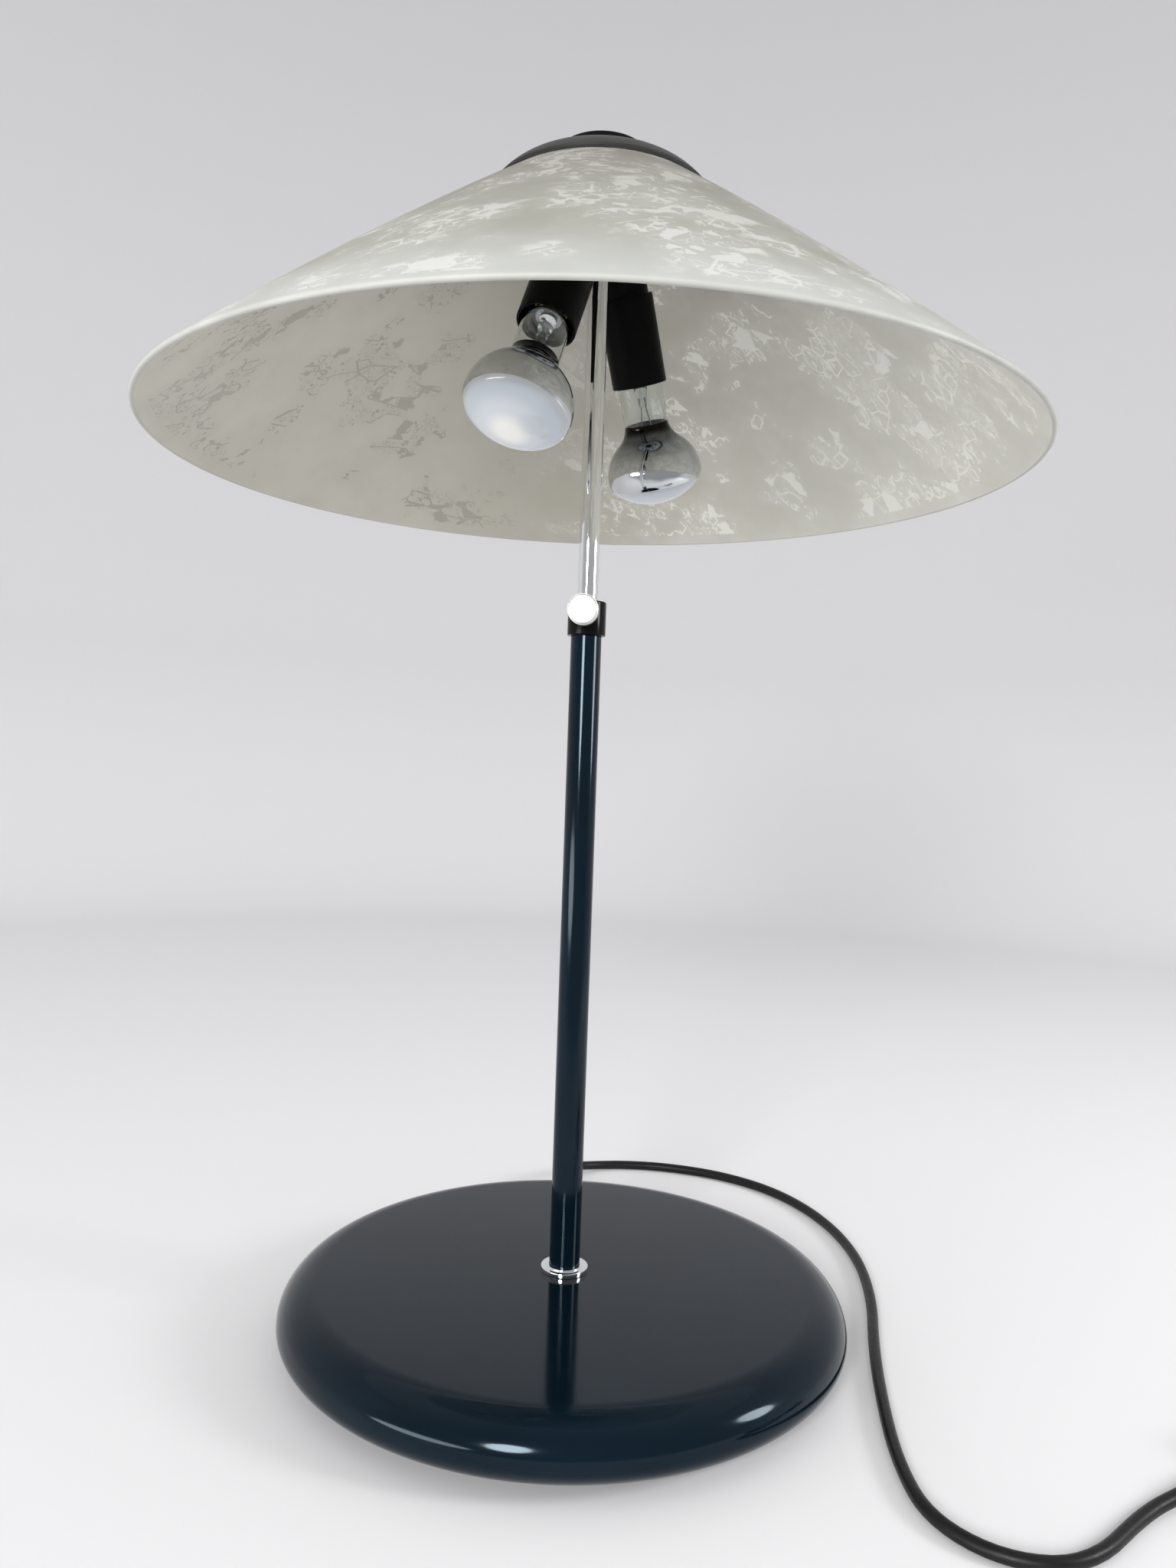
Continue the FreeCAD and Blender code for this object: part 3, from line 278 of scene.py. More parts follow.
def end_tree(tree, inputs, *parts):
    """Joins the parts of a tree, makes them real, gives them their finish and ends the tree."""
    joined = add_node(tree, "GeometryNodeJoinGeometry")
    for part in parts:
        tree.links.new(part, joined.inputs[0])
    solid = add_node(tree, "GeometryNodeRealizeInstances", {"Geometry": joined.outputs[0]})
    dressed = add_node(tree, "GeometryNodeSetMaterial",
                       {"Geometry": solid.outputs[0], "Material": inputs["Finish"]})
    tree.links.new(dressed.outputs[0], tree.nodes.new("NodeGroupOutput").inputs[0])
    return tree


def grow(mesh, tree, values):
    """Runs a geometry tree on a mesh and returns the plain mesh that it makes, undressed."""
    holder = place_object("growing", mesh)
    modifier = holder.modifiers.new("grow", "NODES")
    modifier.node_group = tree
    for item in tree.interface.items_tree:
        if item.in_out == "INPUT" and item.name in values:
            modifier[item.identifier] = values[item.name]
    grown = finished(holder)
    grown.materials.clear()
    return grown


def make_screw():
    """One screw at the origin, with its head down and a cross cut into it."""
    outline = rounded([(0, 0.4, 0), (2.8, 0.4, 0.0), (4.0, 1.5, 0.4), (4.0, 2.0, 0),
                       (2.0, 2.0, 0), (2.0, 16.0, 0), (0, 16.0, 0)])
    slots = []
    for turn in (0, math.pi / 2):
        slots.append(bmesh.new())
        bmesh.ops.create_cube(slots[-1], size=1.0)
        slots[-1].transform(Matrix.Rotation(turn, 4, "Z")
                            @ Matrix.Diagonal((4.2 * MM, 0.8 * MM, 2.0 * MM, 1)))
    return cut_out(turned("screw", outline, 32, closed=False), *slots)


def along_z(tree, length):
    """A vector of that length along Z."""
    return add_node(tree, "ShaderNodeCombineXYZ", {"Z": length}).outputs[0]


def screw_tree():
    tree, inputs = input_tree("screws_on_a_circle",
                              [("Count", "Int"), ("Circle", "Float"), ("Turn", "Float")])
    circle = add_node(tree, "GeometryNodeMeshCircle",
                      {"Vertices": inputs["Count"], "Radius": inputs["Circle"]})
    placed = add_node(tree, "GeometryNodeTransform", {"Geometry": circle.outputs["Mesh"],
                                                      "Rotation": along_z(tree, inputs["Turn"])})
    screws = add_node(tree, "GeometryNodeInstanceOnPoints",
                      {"Points": placed.outputs[0], "Instance": inputs["Geometry"]})
    return end_tree(tree, inputs, screws.outputs[0])


screws = grow(make_screw(), screw_tree(), {"Count": 3, "Circle": 88 * MM,
                                           "Turn": math.radians(30), "Finish": zinc_plate})
show("plate-screws", screws, [zinc_plate], "base", "zinc_steel", "plate_screws")


# Foot pad
# A ring of black rubber sheet, glued under the bottom plate, that keeps the base from
# sliding and stands 2 mm below the plate.

# Calendered rubber is matte, nearly black, with a fine pebble.
rubber_sheet = start_material("calendered_rubber_sheet", "1B1B1B", 0.8)
mottle(rubber_sheet, "222222", "151515", 5.0)
roughen(rubber_sheet, 0.7, 0.9, 0.8, 0.03)
dress(rubber_sheet, "foot_pad", "carrier_gasket", "cap_seal", "cord_tie")


# Base cover
# A disc of spun steel with a fully rolled edge, lacquered in dark navy blue. The lacquer is
# thick, flows out flat and shines like a dark mirror.

def ellipse_quarter(start, corner, end, steps=20):
    """Points of the quarter ellipse from start to end, whose tangents meet at corner."""
    center = (start[0] + end[0] - corner[0], start[1] + end[1] - corner[1])
    turns = [math.pi / 2 * k / steps for k in range(steps + 1)]
    return [tuple(c + (s - c) * math.cos(t) + (e - c) * math.sin(t)
                  for c, s, e in zip(center, start, end)) for t in turns]


BASE_TOP = 31.0
BASE_FLAT = 118.0
BASE_RADIUS = 136.5
BASE_WIDEST = 15.0
BASE_MOUTH = 113.0
BASE_UNDER = 2.0
BASE_WALL = 1.5
inside = BASE_RADIUS - BASE_WALL
base_outline = [(5.0, BASE_TOP - BASE_WALL), (5.0, BASE_TOP), (60.0, BASE_TOP), (100.0, BASE_TOP)]
base_outline += ellipse_quarter((BASE_FLAT, BASE_TOP), (BASE_RADIUS, BASE_TOP),
                                (BASE_RADIUS, BASE_WIDEST), 28)
base_outline += ellipse_quarter((BASE_RADIUS, BASE_WIDEST), (BASE_RADIUS, BASE_UNDER),
                                (BASE_MOUTH, BASE_UNDER), 24)[1:]
base_outline += ellipse_quarter((BASE_MOUTH, BASE_UNDER + BASE_WALL),
                                (inside, BASE_UNDER + BASE_WALL), (inside, BASE_WIDEST), 12)
base_outline += ellipse_quarter((inside, BASE_WIDEST), (inside, BASE_TOP - BASE_WALL),
                                (BASE_FLAT, BASE_TOP - BASE_WALL), 12)[1:]

# Stoving lacquer in navy: almost black, a dark mirror with a faint orange peel. The blue cast
# of its reflections is a painted reflection: it shows the pale room it mirrors as bluish.
navy_lacquer = start_material("navy_stoving_lacquer", "05121B", 0.1,
                              Specular_IOR_Level=0.27, Specular_Tint=linear("CDE2F0"))
mottle(navy_lacquer, "061520", "040F17", 40.0)


def waves(material, size, height):
    """Gentle waves of that length and height in mm, of sprayed lacquer or blown glass."""
    tree = material.node_tree
    return add_bump(material, patches(tree, in_mm(tree), size, 1.0).outputs["Fac"], height)


waves(navy_lacquer, 5.0, 0.006)
show("base-cover", turned("base-cover", base_outline, 320), [navy_lacquer], "base",
     "navy_lacquer", "base_cover")


# Foot ring
# A turned brass ring, chrome plated, that covers the joint of pole and base. It has a
# small raised lip against the pole.

POLE_RADIUS = 7.5

# Bright chrome plate: a cold mirror with faint haze.
chrome_plate = start_material("bright_chrome_plate", "EDEEEF", 0.05, 1.0)
roughen(chrome_plate, 0.03, 0.08, 12.0)
foot_ring = rounded([(POLE_RADIUS, BASE_TOP, 0), (11.5, BASE_TOP, 0.2), (11.5, 33.5, 0.4),
                     (9.0, 33.5, 0.15), (9.0, 34.3, 0.3), (POLE_RADIUS, 34.3, 0.2)], 4)
show("foot-ring", turned("foot-ring", foot_ring, 128), [chrome_plate], "base",
     "chrome_plate", "foot_ring")


# Pole
# A steel tube of 15 mm in the same navy lacquer, pressed over the nipple's plug. The nylon
# bush in its top guides the stem.

POLE_BORE = 6.25
POLE_TOP = 348.5
pole = rounded([(POLE_BORE, BASE_TOP, 0), (POLE_RADIUS, BASE_TOP, 0),
                (POLE_RADIUS, POLE_TOP, 0.2), (POLE_BORE, POLE_TOP, 0)], 3)
show("pole", turned("pole", pole, 96), [navy_lacquer], "base", "navy_lacquer", "pole_tube")

# Natural nylon is milky, slightly yellow and waxy.
natural_nylon = start_material("natural_nylon", "DDD9CB", 0.4, Subsurface_Weight=0.1,
                               Subsurface_Scale=0.002)
mottle(natural_nylon, "E2DED0", "D6D2C3", 4.0)
dress(natural_nylon, "guide_bush", "clamp_pad", "stem_guide")


# Clamp collar and thumb screw
# A turned collar in gloss black sits over the pole's end and takes the thumb screw. The
# screw has a satin chrome knob with a fine knurl.

def bored(mesh, radius, start, end):
    """The mesh with a round hole from start to end, in mm, cut through it."""
    way = Vector(end) - Vector(start)
    middle = (Vector(start) + Vector(end)) / 2 * MM
    drill = bmesh.new()
    bmesh.ops.create_cone(drill, cap_ends=True, segments=32, radius1=radius * MM,
                          radius2=radius * MM, depth=way.length * MM)
    drill.transform(Matrix.Translation(middle) @ way.to_track_quat("Z", "Y").to_matrix().to_4x4())
    return cut_out(mesh, drill)


KNOB_AZIMUTH = math.radians(263.1)
KNOB_HEIGHT = 352.8
KNOB_RADIUS = 7.15
outward = Vector((math.cos(KNOB_AZIMUTH), math.sin(KNOB_AZIMUTH), 0))
knob_center = Vector((0, 0, KNOB_HEIGHT))

# Gloss black lacquer, which shows the pale room only faintly.
black_lacquer = start_material("black_stoving_lacquer", "0B0B0C", 0.16,
                               Specular_IOR_Level=0.12)
mottle(black_lacquer, "0D0D0F", "09090A", 20.0)
waves(black_lacquer, 3.0, 0.004)
collar = rounded([(POLE_RADIUS, 342.0, 0.1), (9.3, 342.0, 0.5), (9.3, 358.5, 0.7),
                  (5.3, 358.5, 0.3), (5.3, POLE_TOP, 0), (POLE_RADIUS, POLE_TOP, 0)], 4)
collar_mesh = bored(turned("collar", collar, 96), 2.0, knob_center, knob_center + outward * 20)
show("clamp-collar", collar_mesh, [black_lacquer], "base", "black_lacquer", "clamp_collar")


def knurl_tree():
    tree, inputs = input_tree("knurled_edge",
                              [("Count", "Int"), ("Radius", "Float"), ("Ridge", "Float"),
                               ("Length", "Float"), ("Middle", "Float")])
    circle = add_node(tree, "GeometryNodeMeshCircle",
                      {"Vertices": inputs["Count"], "Radius": inputs["Radius"]})
    placed = add_node(tree, "GeometryNodeTransform",
                      {"Geometry": circle.outputs["Mesh"],
                       "Translation": along_z(tree, inputs["Middle"])})
    ridge = add_node(tree, "GeometryNodeMeshCylinder",
                     {"Vertices": 8, "Radius": inputs["Ridge"], "Depth": inputs["Length"]})
    ridges = add_node(tree, "GeometryNodeInstanceOnPoints",
                      {"Points": placed.outputs[0], "Instance": ridge.outputs["Mesh"]})
    return end_tree(tree, inputs, inputs["Geometry"], ridges.outputs[0])


# The knob's plate is satin, so that it looks nearly white.
satin_chrome = start_material("satin_chrome_plate", "DCDCD8", 0.45, 1.0)
roughen(satin_chrome, 0.4, 0.5, 3.0)
knob = rounded([(0, 10.5, 0), (4.5, 10.5, 0.3), (4.5, 12.5, 0.2), (KNOB_RADIUS, 12.5, 0.5),
                (KNOB_RADIUS, 18.5, 0.9), (0, 18.5, 0)], 4)
knob_mesh = grow(turned("knob", knob, 96, closed=False), knurl_tree(),
                 {"Count": 60, "Radius": KNOB_RADIUS * MM, "Ridge": 0.25 * MM,
                  "Length": 4.4 * MM, "Middle": 15.3 * MM, "Finish": satin_chrome})
knob_mesh.transform(Matrix.Translation(knob_center * MM)
                    @ outward.to_track_quat("Z", "Y").to_matrix().to_4x4())
show("thumb-knob", knob_mesh, [satin_chrome], "clamp_knob", "chrome_plate", "clamp_knob")
dress(chrome_plate, "clamp_screw")


# Stem
# A chrome-plated steel tube of 10 mm that slides and turns in the pole. It carries the
# bracket, the glass and the finial, and has a hole on each side for the lamp leads.

STEM_RADIUS = 5.0
STEM_BORE = 4.0
STEM_FOOT = 198.0
STEM_TOP = 573.29
BRACKET_TOP = 523.6
LAMP_AZIMUTH = math.radians(238.6)
stem = rounded([(STEM_BORE, STEM_FOOT, 0), (STEM_RADIUS, STEM_FOOT, 0.2),
                (STEM_RADIUS, STEM_TOP, 0.3), (STEM_BORE, STEM_TOP, 0)], 3)
lamp_side = Vector((math.cos(LAMP_AZIMUTH), math.sin(LAMP_AZIMUTH), 0))
wire_hole = Vector((0, 0, 540.4))
stem_mesh = bored(turned("stem", stem, 96), 1.7, wire_hole - lamp_side * 10,
                  wire_hole + lamp_side * 10)
show("stem", stem_mesh, [chrome_plate], "head", "chrome_plate", "stem_tube")
bracket_collar = rounded([(STEM_RADIUS, 519.6, 0.2), (6.6, 519.6, 0.4), (6.6, BRACKET_TOP, 0.3),
                          (STEM_RADIUS, BRACKET_TOP, 0)], 3)
show("bracket-collar", turned("bracket-collar", bracket_collar, 64), [chrome_plate], "head",
     "chrome_plate", "bracket_collar")


# Lamp leads
# Silicone-insulated leads run up inside the stem, out of its side holes and down into the
# lampholders. Another pair joins the terminal block in the base to the pole.

# Silicone rubber is off-white, dull and slightly dusty.
silicone_sleeve = start_material("silicone_insulation", "D8D5CB", 0.45)
mottle(silicone_sleeve, "DEDBD1", "CFCCC1", 6.0)
dress(silicone_sleeve, "lamp_leads", "inner_leads")


# Lampholders
# Two black phenolic holders for the small bulb thread, each a smooth skirt screwed to a
# narrower cap. Inside are a porcelain insert, a brass thread shell and a spring contact.

HOLDER_LENGTH = 58.0
SPLAY = math.radians(25.8)
MOUTH_RADIUS = 7.5 + 13.0 * math.cos(SPLAY) + HOLDER_LENGTH * math.sin(SPLAY)
MOUTH_HEIGHT = BRACKET_TOP + 13.0 * math.sin(SPLAY) - HOLDER_LENGTH * math.cos(SPLAY)
SIDES = ("left", "right")


def on_lamp(mesh, side):
    """Moves a mesh that stands on Z to the mouth of the left or right lampholder."""
    turn = LAMP_AZIMUTH + math.pi * SIDES.index(side)
    mesh.transform(Matrix.Rotation(turn, 4, "Z")
                   @ Matrix.Translation((MOUTH_RADIUS * MM, 0, MOUTH_HEIGHT * MM))
                   @ Matrix.Rotation(-SPLAY, 4, "Y"))
    return mesh


# Moulded phenolic is black and satin, with a hint of gray where it catches the light.
phenolic = start_material("black_phenolic_moulding", "070708", 0.36,
                          Specular_IOR_Level=0.06)
mottle(phenolic, "090909", "060607", 8.0)
roughen(phenolic, 0.28, 0.44, 1.5, 0.01)
skirt = rounded([(12.8, 0, 0.3), (14.0, 0, 0.5), (14.0, 43.0, 0.8), (12.8, 43.0, 0)], 4)
holder_cap = rounded([(12.8, 38.0, 0), (12.8, 43.0, 0), (12.1, 43.0, 0),
                      (12.1, HOLDER_LENGTH, 1.2), (5.0, HOLDER_LENGTH, 0), (5.0, 55.0, 0),
                      (10.6, 55.0, 0), (10.6, 38.0, 0)], 4)
for side in SIDES:
    show("holder-skirt-" + side, on_lamp(turned("skirt", skirt, 96), side), [phenolic], "head",
         "holder_plastic", "holder_skirt_" + side)
    show("holder-cap-" + side, on_lamp(turned("cap", holder_cap, 96), side), [phenolic], "head",
         "holder_plastic", "holder_cap_" + side)

# Drawn brass, yellow and slightly dull.
brass = start_material("drawn_brass", "B99A56", 0.3, 1.0)
mottle(brass, "C4A55F", "AC8D4B", 4.0)
dress(brass, "thread_shells", "center_contact_left", "center_contact_right", "finial_insert")

# Unglazed electrical porcelain, off-white and dull.
porcelain = start_material("electrical_porcelain", "DEDAD0", 0.6)
mottle(porcelain, "E3DFD6", "D5D0C5", 5.0)
dress(porcelain, "socket_inserts", "terminal_block")


# Reflector bulbs
# Blown glass bulbs of 50 mm. The neck is clear, the back is silvered inside, and the face is
# frosted inside, so that it stays glossy outside. The cap is aluminium with a rolled thread.

NECK = 11.3
NECK_TOP = -1.0
NECK_LOW = -18.0
THROAT = 6.4
BULB_WIDE = 25.0
WIDEST = -46.0
FRONT = -61.0
BACK_CURVE = 22.0
SHOULDER = 9.0
BULB_WALL = 0.8


def along_arc(center, radius, start, end, steps):
    """Points of the short arc from start to end, both ends included."""
    a = math.atan2(start[1] - center[1], start[0] - center[0])
    b = math.atan2(end[1] - center[1], end[0] - center[0])
    b = a + (b - a + math.pi) % (2 * math.pi) - math.pi
    turns = [a + (b - a) * k / steps for k in range(steps + 1)]
    return [(center[0] + radius * math.cos(t), center[1] + radius * math.sin(t)) for t in turns]


def bulb_outline(depth):
    """The envelope's outline from the top of the throat to the face, moved in by depth."""
    across = BULB_WIDE - NECK
    flare = (across ** 2 + (NECK_LOW - WIDEST) ** 2) / (2 * across) - BACK_CURVE
    flare_center = (NECK + flare, NECK_LOW)
    back_center = (BULB_WIDE - BACK_CURVE, WIDEST)
    side_center = (BULB_WIDE - SHOULDER, WIDEST)
    fall = WIDEST - FRONT
    face = (side_center[0] ** 2 + fall ** 2 - SHOULDER ** 2) / (2 * (fall - SHOULDER))
    face_center = (0.0, FRONT + face)

    def toward(center, radius, point):
        away = math.hypot(point[0] - center[0], point[1] - center[1])
        return tuple(c + radius * (p - c) / away for c, p in zip(center, point))

    meet = toward(flare_center, flare + depth, back_center)
    turn = toward(face_center, face - depth, side_center)
    top = NECK_TOP + NECK - THROAT - depth
    points = [(0.0, top)]
    points += along_arc((THROAT, NECK_TOP), NECK - THROAT - depth, (THROAT, top),
                        (NECK - depth, NECK_TOP), 8)
    points += [(NECK - depth, NECK_TOP + (NECK_LOW - NECK_TOP) * k / 4) for k in range(1, 4)]
    points += along_arc(flare_center, flare + depth, (NECK - depth, NECK_LOW), meet, 10)
    points += along_arc(back_center, BACK_CURVE - depth, meet, (BULB_WIDE - depth, WIDEST), 24)[1:]
    points += along_arc(side_center, SHOULDER - depth, (BULB_WIDE - depth, WIDEST), turn, 12)[1:]
    points += along_arc(face_center, face - depth, turn, (0.0, FRONT + depth), 16)[1:]
    return points


# Bulb glass is clear and nearly colorless.
clear_glass = start_material("clear_bulb_glass", "F4F7F6", 0.02, Transmission_Weight=1.0,
                             IOR=1.5)


def color_outward(material, steps):
    """Color that changes with the distance from the bulb's axis, as a share of its radius."""
    tree = material.node_tree
    across = add_node(tree, "ShaderNodeAttribute", attribute_name="across")
    return feed(material, "Base Color", color_ramp(tree, across.outputs["Fac"], steps))


# The silver is a mirror, wavy as blown glass is. Its color is painted: nearly black at the
# neck, a painted reflection of the black holder, and gray further out, a painted dim
# reflection, darker than bright silver.
silvering = start_material("bulb_silvering", "DADCDD", 0.05, 1.0)
roughen(silvering, 0.03, 0.07, 15.0)
waves(silvering, 11.0, 0.5)
color_outward(silvering, ((0.47, "1E1C1B"), (0.54, "6A6C6E"), (0.75, "A6AAAD"), (0.95, "C8CBCD")))

# The frosting is bluish. Its color is painted from near white in the middle, a painted highlight
# where the mirror behind it gathers light, to bluish gray at its rim.
frosting = start_material("inside_frosted_bulb_glass", "E2EAF2", 0.3, Coat_Weight=1.0,
                          Coat_Roughness=0.03)
color_outward(frosting, ((0.15, "FFFFFA"), (0.5, "DCE2E8"), (0.8, "C8D1DB"), (0.97, "BFC4C9")))

CLEAR_END = 14                 # the outline's steps that lie on the clear neck
SILVER_END = 54                # the last step of the silvered back


def bulb_zone(step):
    """0 is clear, 1 is silvered, 2 is frosted."""
    return 0 if step < CLEAR_END else 1 if step < SILVER_END else 2


def make_envelope(name):
    """The bulb's glass, with its wall, that knows how far each point is from the axis."""
    outer = turned("outer", bulb_outline(0), 128, closed=False)
    inner = turned("inner", bulb_outline(BULB_WALL), 128, closed=False)
    form = bmesh.new()
    form.from_mesh(inner)
    bmesh.ops.reverse_faces(form, faces=form.faces)
    form.from_mesh(outer)
    envelope = mesh_of(form, name)
    across = envelope.attributes.new("across", "FLOAT", "POINT")
    across.data.foreach_set("value",
                            [v.co.xy.length / (BULB_WIDE * MM) for v in envelope.vertices])
    return envelope


# The cap is a drawn shell with a rolled thread of 2.8 mm pitch, and ends in the contact tip.
def thread_tree():
    tree, inputs = input_tree("rolled_thread",
                              [("Turns", "Float"), ("Radius", "Float"), ("Height", "Float"),
                               ("Bottom", "Float"), ("Bead", "Float")])
    spiral = add_node(tree, "GeometryNodeCurveSpiral",
                      {"Resolution": 48, "Rotations": inputs["Turns"],
                       "Start Radius": inputs["Radius"], "End Radius": inputs["Radius"],
                       "Height": inputs["Height"]})
    placed = add_node(tree, "GeometryNodeTransform",
                      {"Geometry": spiral.outputs[0],
                       "Translation": along_z(tree, inputs["Bottom"])})
    bead = add_node(tree, "GeometryNodeCurvePrimitiveCircle",
                    {"Resolution": 12, "Radius": inputs["Bead"]})
    rope = add_node(tree, "GeometryNodeCurveToMesh",
                    {"Curve": placed.outputs[0], "Profile Curve": bead.outputs[0],
                     "Fill Caps": True})
    return end_tree(tree, inputs, inputs["Geometry"], rope.outputs[0])


# Drawn aluminium is a pale, soft gray metal, brushed by the die.
aluminium = start_material("drawn_aluminium", "C2C2C0", 0.3, 1.0)
roughen(aluminium, 0.22, 0.4, 2.0)
thread = thread_tree()
bulb_cap = rounded([(0, 4.3, 0), (6.3, 4.3, 0.2), (6.3, 20.6, 0.6), (2.6, 23.8, 0.3),
                    (2.6, 26.0, 0.8), (0, 26.5, 0)], 4)
for side in SIDES:
    envelope = on_lamp(make_envelope("bulb-glass-" + side), side)
    show("bulb-glass-" + side, envelope, [clear_glass, silvering, frosting],
         "bulb_" + side, "bulb_glass", "bulb_envelope_" + side, zones=bulb_zone)
    cap_mesh = grow(turned("bulb-cap", bulb_cap, 64, closed=False), thread,
                    {"Turns": 4.5, "Radius": 6.25 * MM, "Height": 12.7 * MM, "Bottom": 7.0 * MM,
                     "Bead": 0.6 * MM, "Finish": aluminium})
    show("bulb-cap-" + side, on_lamp(cap_mesh, side), [aluminium], "bulb_" + side,
         "bulb_cap_metal", "bulb_cap_" + side)


# Bulb mounts
# In each bulb a pinched glass stem holds two nickel wires, and a coiled tungsten filament
# hangs between them.

def joined_mesh(name, meshes):
    form = bmesh.new()
    for mesh in meshes:
        form.from_mesh(mesh)
    return mesh_of(form, name)


def round_curve(name, points, radius, bevel, kind="POLY"):
    """A round wire or cord through points in mm, as a curve, and its spline."""
    curve = bpy.data.curves.new(name, "CURVE")
    curve.dimensions = "3D"
    spline = curve.splines.new(kind)
    spline.points.add(len(points) - 1)
    for knot, point in zip(spline.points, points):
        knot.co = (*(c * MM for c in point), 1)
    curve.bevel_depth = radius * MM
    curve.bevel_resolution = bevel
    curve.use_fill_caps = True
    return curve, spline


def wire(points, radius, bevel=2):
    """A round wire through points in mm, as a closed mesh."""
    curve, _ = round_curve("wire", points, radius, bevel)
    return finished(place_object("wire", curve))


# Nickel wire is gray, drawn and slightly oxidized.
nickel_wire = start_material("nickel_wire", "8E8C88", 0.3, 1.0)
roughen(nickel_wire, 0.2, 0.4, 1.0)
mount_stem = rounded([(0, 3.0, 0), (4.0, 3.0, 0.4), (4.0, 1.0, 1.0), (2.4, -7.5, 2.0),
                      (2.0, -10.9, 0.6), (0, -10.9, 0)], 4)
FILAMENT_HALF = 5.5
FILAMENT_DEPTH = -36.0
FILAMENT_COIL = 0.6
for side in SIDES:
    show("mount-glass-" + side, on_lamp(turned("mount", mount_stem, 48, closed=False), side),
         [clear_glass], "bulb_" + side, "bulb_glass", "bulb_mount_" + side)
    parts = [wire([(0, s * 1.0, -6.0), (0, s * 1.4, -12.0), (0, s * 3.0, -22.0),
                   (0, s * FILAMENT_HALF, FILAMENT_DEPTH - 0.3)], 0.35) for s in (-1, 1)]
    coil = [(FILAMENT_COIL * math.cos(k * 0.9), -FILAMENT_HALF + 2 * FILAMENT_HALF * k / 160,
             FILAMENT_DEPTH + FILAMENT_COIL * math.sin(k * 0.9)) for k in range(161)]
    parts.append(wire(coil, 0.12, 1))
    show("mount-wires-" + side, on_lamp(joined_mesh("wires", parts), side), [nickel_wire],
         "bulb_" + side, "bulb_glass")


# Glass shade
# One blown cone of opal glass, 419 mm across, cut and flame-polished at both edges. Both
# faces are etched satin, and flakes that the etching missed stay smoother than the rest.

GLASS_WALL = 2.5
GLASS_TOP = (52.1, 550.8)
GLASS_RIM = (209.2, 429.0)
GLASS_RISE = 2.0
GLASS_HOLE = 42.0
GLASS_LIP = 431.5              # below this height is the polished lip, with no flakes


def bow(start, end, rise):
    """Center and radius of the arc over a chord, that rises on the chord's upper side."""
    dx, dz = end[0] - start[0], end[1] - start[1]
    chord = math.hypot(dx, dz)
    radius = (chord ** 2 / 4 + rise ** 2) / (2 * rise)
    back = radius - rise
    return ((start[0] + end[0]) / 2 + dz / chord * back,
            (start[1] + end[1]) / 2 - dx / chord * back), radius


glass_center, glass_radius = bow(GLASS_TOP, GLASS_RIM, GLASS_RISE)


def on_glass(r, depth):
    """The point below the glass's outer face at radius r, square to the face."""
    z = glass_center[1] + math.sqrt(glass_radius ** 2 - (r - glass_center[0]) ** 2)
    share = depth / glass_radius
    return (r - share * (r - glass_center[0]), z - share * (z - glass_center[1]))


STEPS = 60
EDGE_STEPS = 8
shade_outline = [on_glass(GLASS_HOLE + (GLASS_RIM[0] - GLASS_HOLE) * k / STEPS, 0)
                 for k in range(STEPS + 1)]
for edge, way in ((GLASS_RIM[0], 1), (GLASS_HOLE, -1)):
    outer, inner = on_glass(edge, 0), on_glass(edge, GLASS_WALL)
    middle = ((outer[0] + inner[0]) / 2, (outer[1] + inner[1]) / 2)
    half = (way * (outer[0] - inner[0]) / 2, way * (outer[1] - inner[1]) / 2)
    along = (way * half[1], -way * half[0])
    for k in range(1, EDGE_STEPS):
        t = math.pi * k / EDGE_STEPS
        shade_outline.append((middle[0] + half[0] * math.cos(t) + along[0] * math.sin(t),
                              middle[1] + half[1] * math.cos(t) + along[1] * math.sin(t)))
    if way == 1:
        shade_outline += [on_glass(GLASS_RIM[0] - (GLASS_RIM[0] - GLASS_HOLE) * k / STEPS,
                                   GLASS_WALL) for k in range(STEPS + 1)]


def combine(tree, operation, a, b):
    return add_node(tree, "ShaderNodeMath", {0: a, 1: b}, operation=operation).outputs[0]


def mix(tree, share, a, b):
    """A color between two colors, each given as a socket or as a linear color."""
    return add_node(tree, "ShaderNodeMix", {0: share, 6: a, 7: b}, data_type="RGBA").outputs[2]


def shards(tree, place, length, width, turn, share, seed):
    """Sharp cells of that length and width in mm: some of them filled, others outlined."""
    spot = add_node(tree, "ShaderNodeMapping",
                    {"Vector": place, "Location": (seed, seed * 2.3, seed * 0.7),
                     "Rotation": turn, "Scale": (length, width, width)}, vector_type="TEXTURE")
    cells = add_node(tree, "ShaderNodeTexVoronoi", {"Vector": spot.outputs[0], "Scale": 1.0})
    edges = add_node(tree, "ShaderNodeTexVoronoi", {"Vector": spot.outputs[0], "Scale": 1.0},
                     feature="DISTANCE_TO_EDGE")
    pick = add_node(tree, "ShaderNodeSeparateColor", {"Color": cells.outputs["Color"]})
    filled = combine(tree, "GREATER_THAN", pick.outputs["Red"], 1 - share)
    outlined = combine(tree, "GREATER_THAN", pick.outputs["Green"], 0.7)
    line = combine(tree, "LESS_THAN", edges.outputs["Distance"], 0.07)
    return filled, combine(tree, "MULTIPLY", outlined, line)


CLUSTERED = 0.53               # the noise's level above which flakes gather


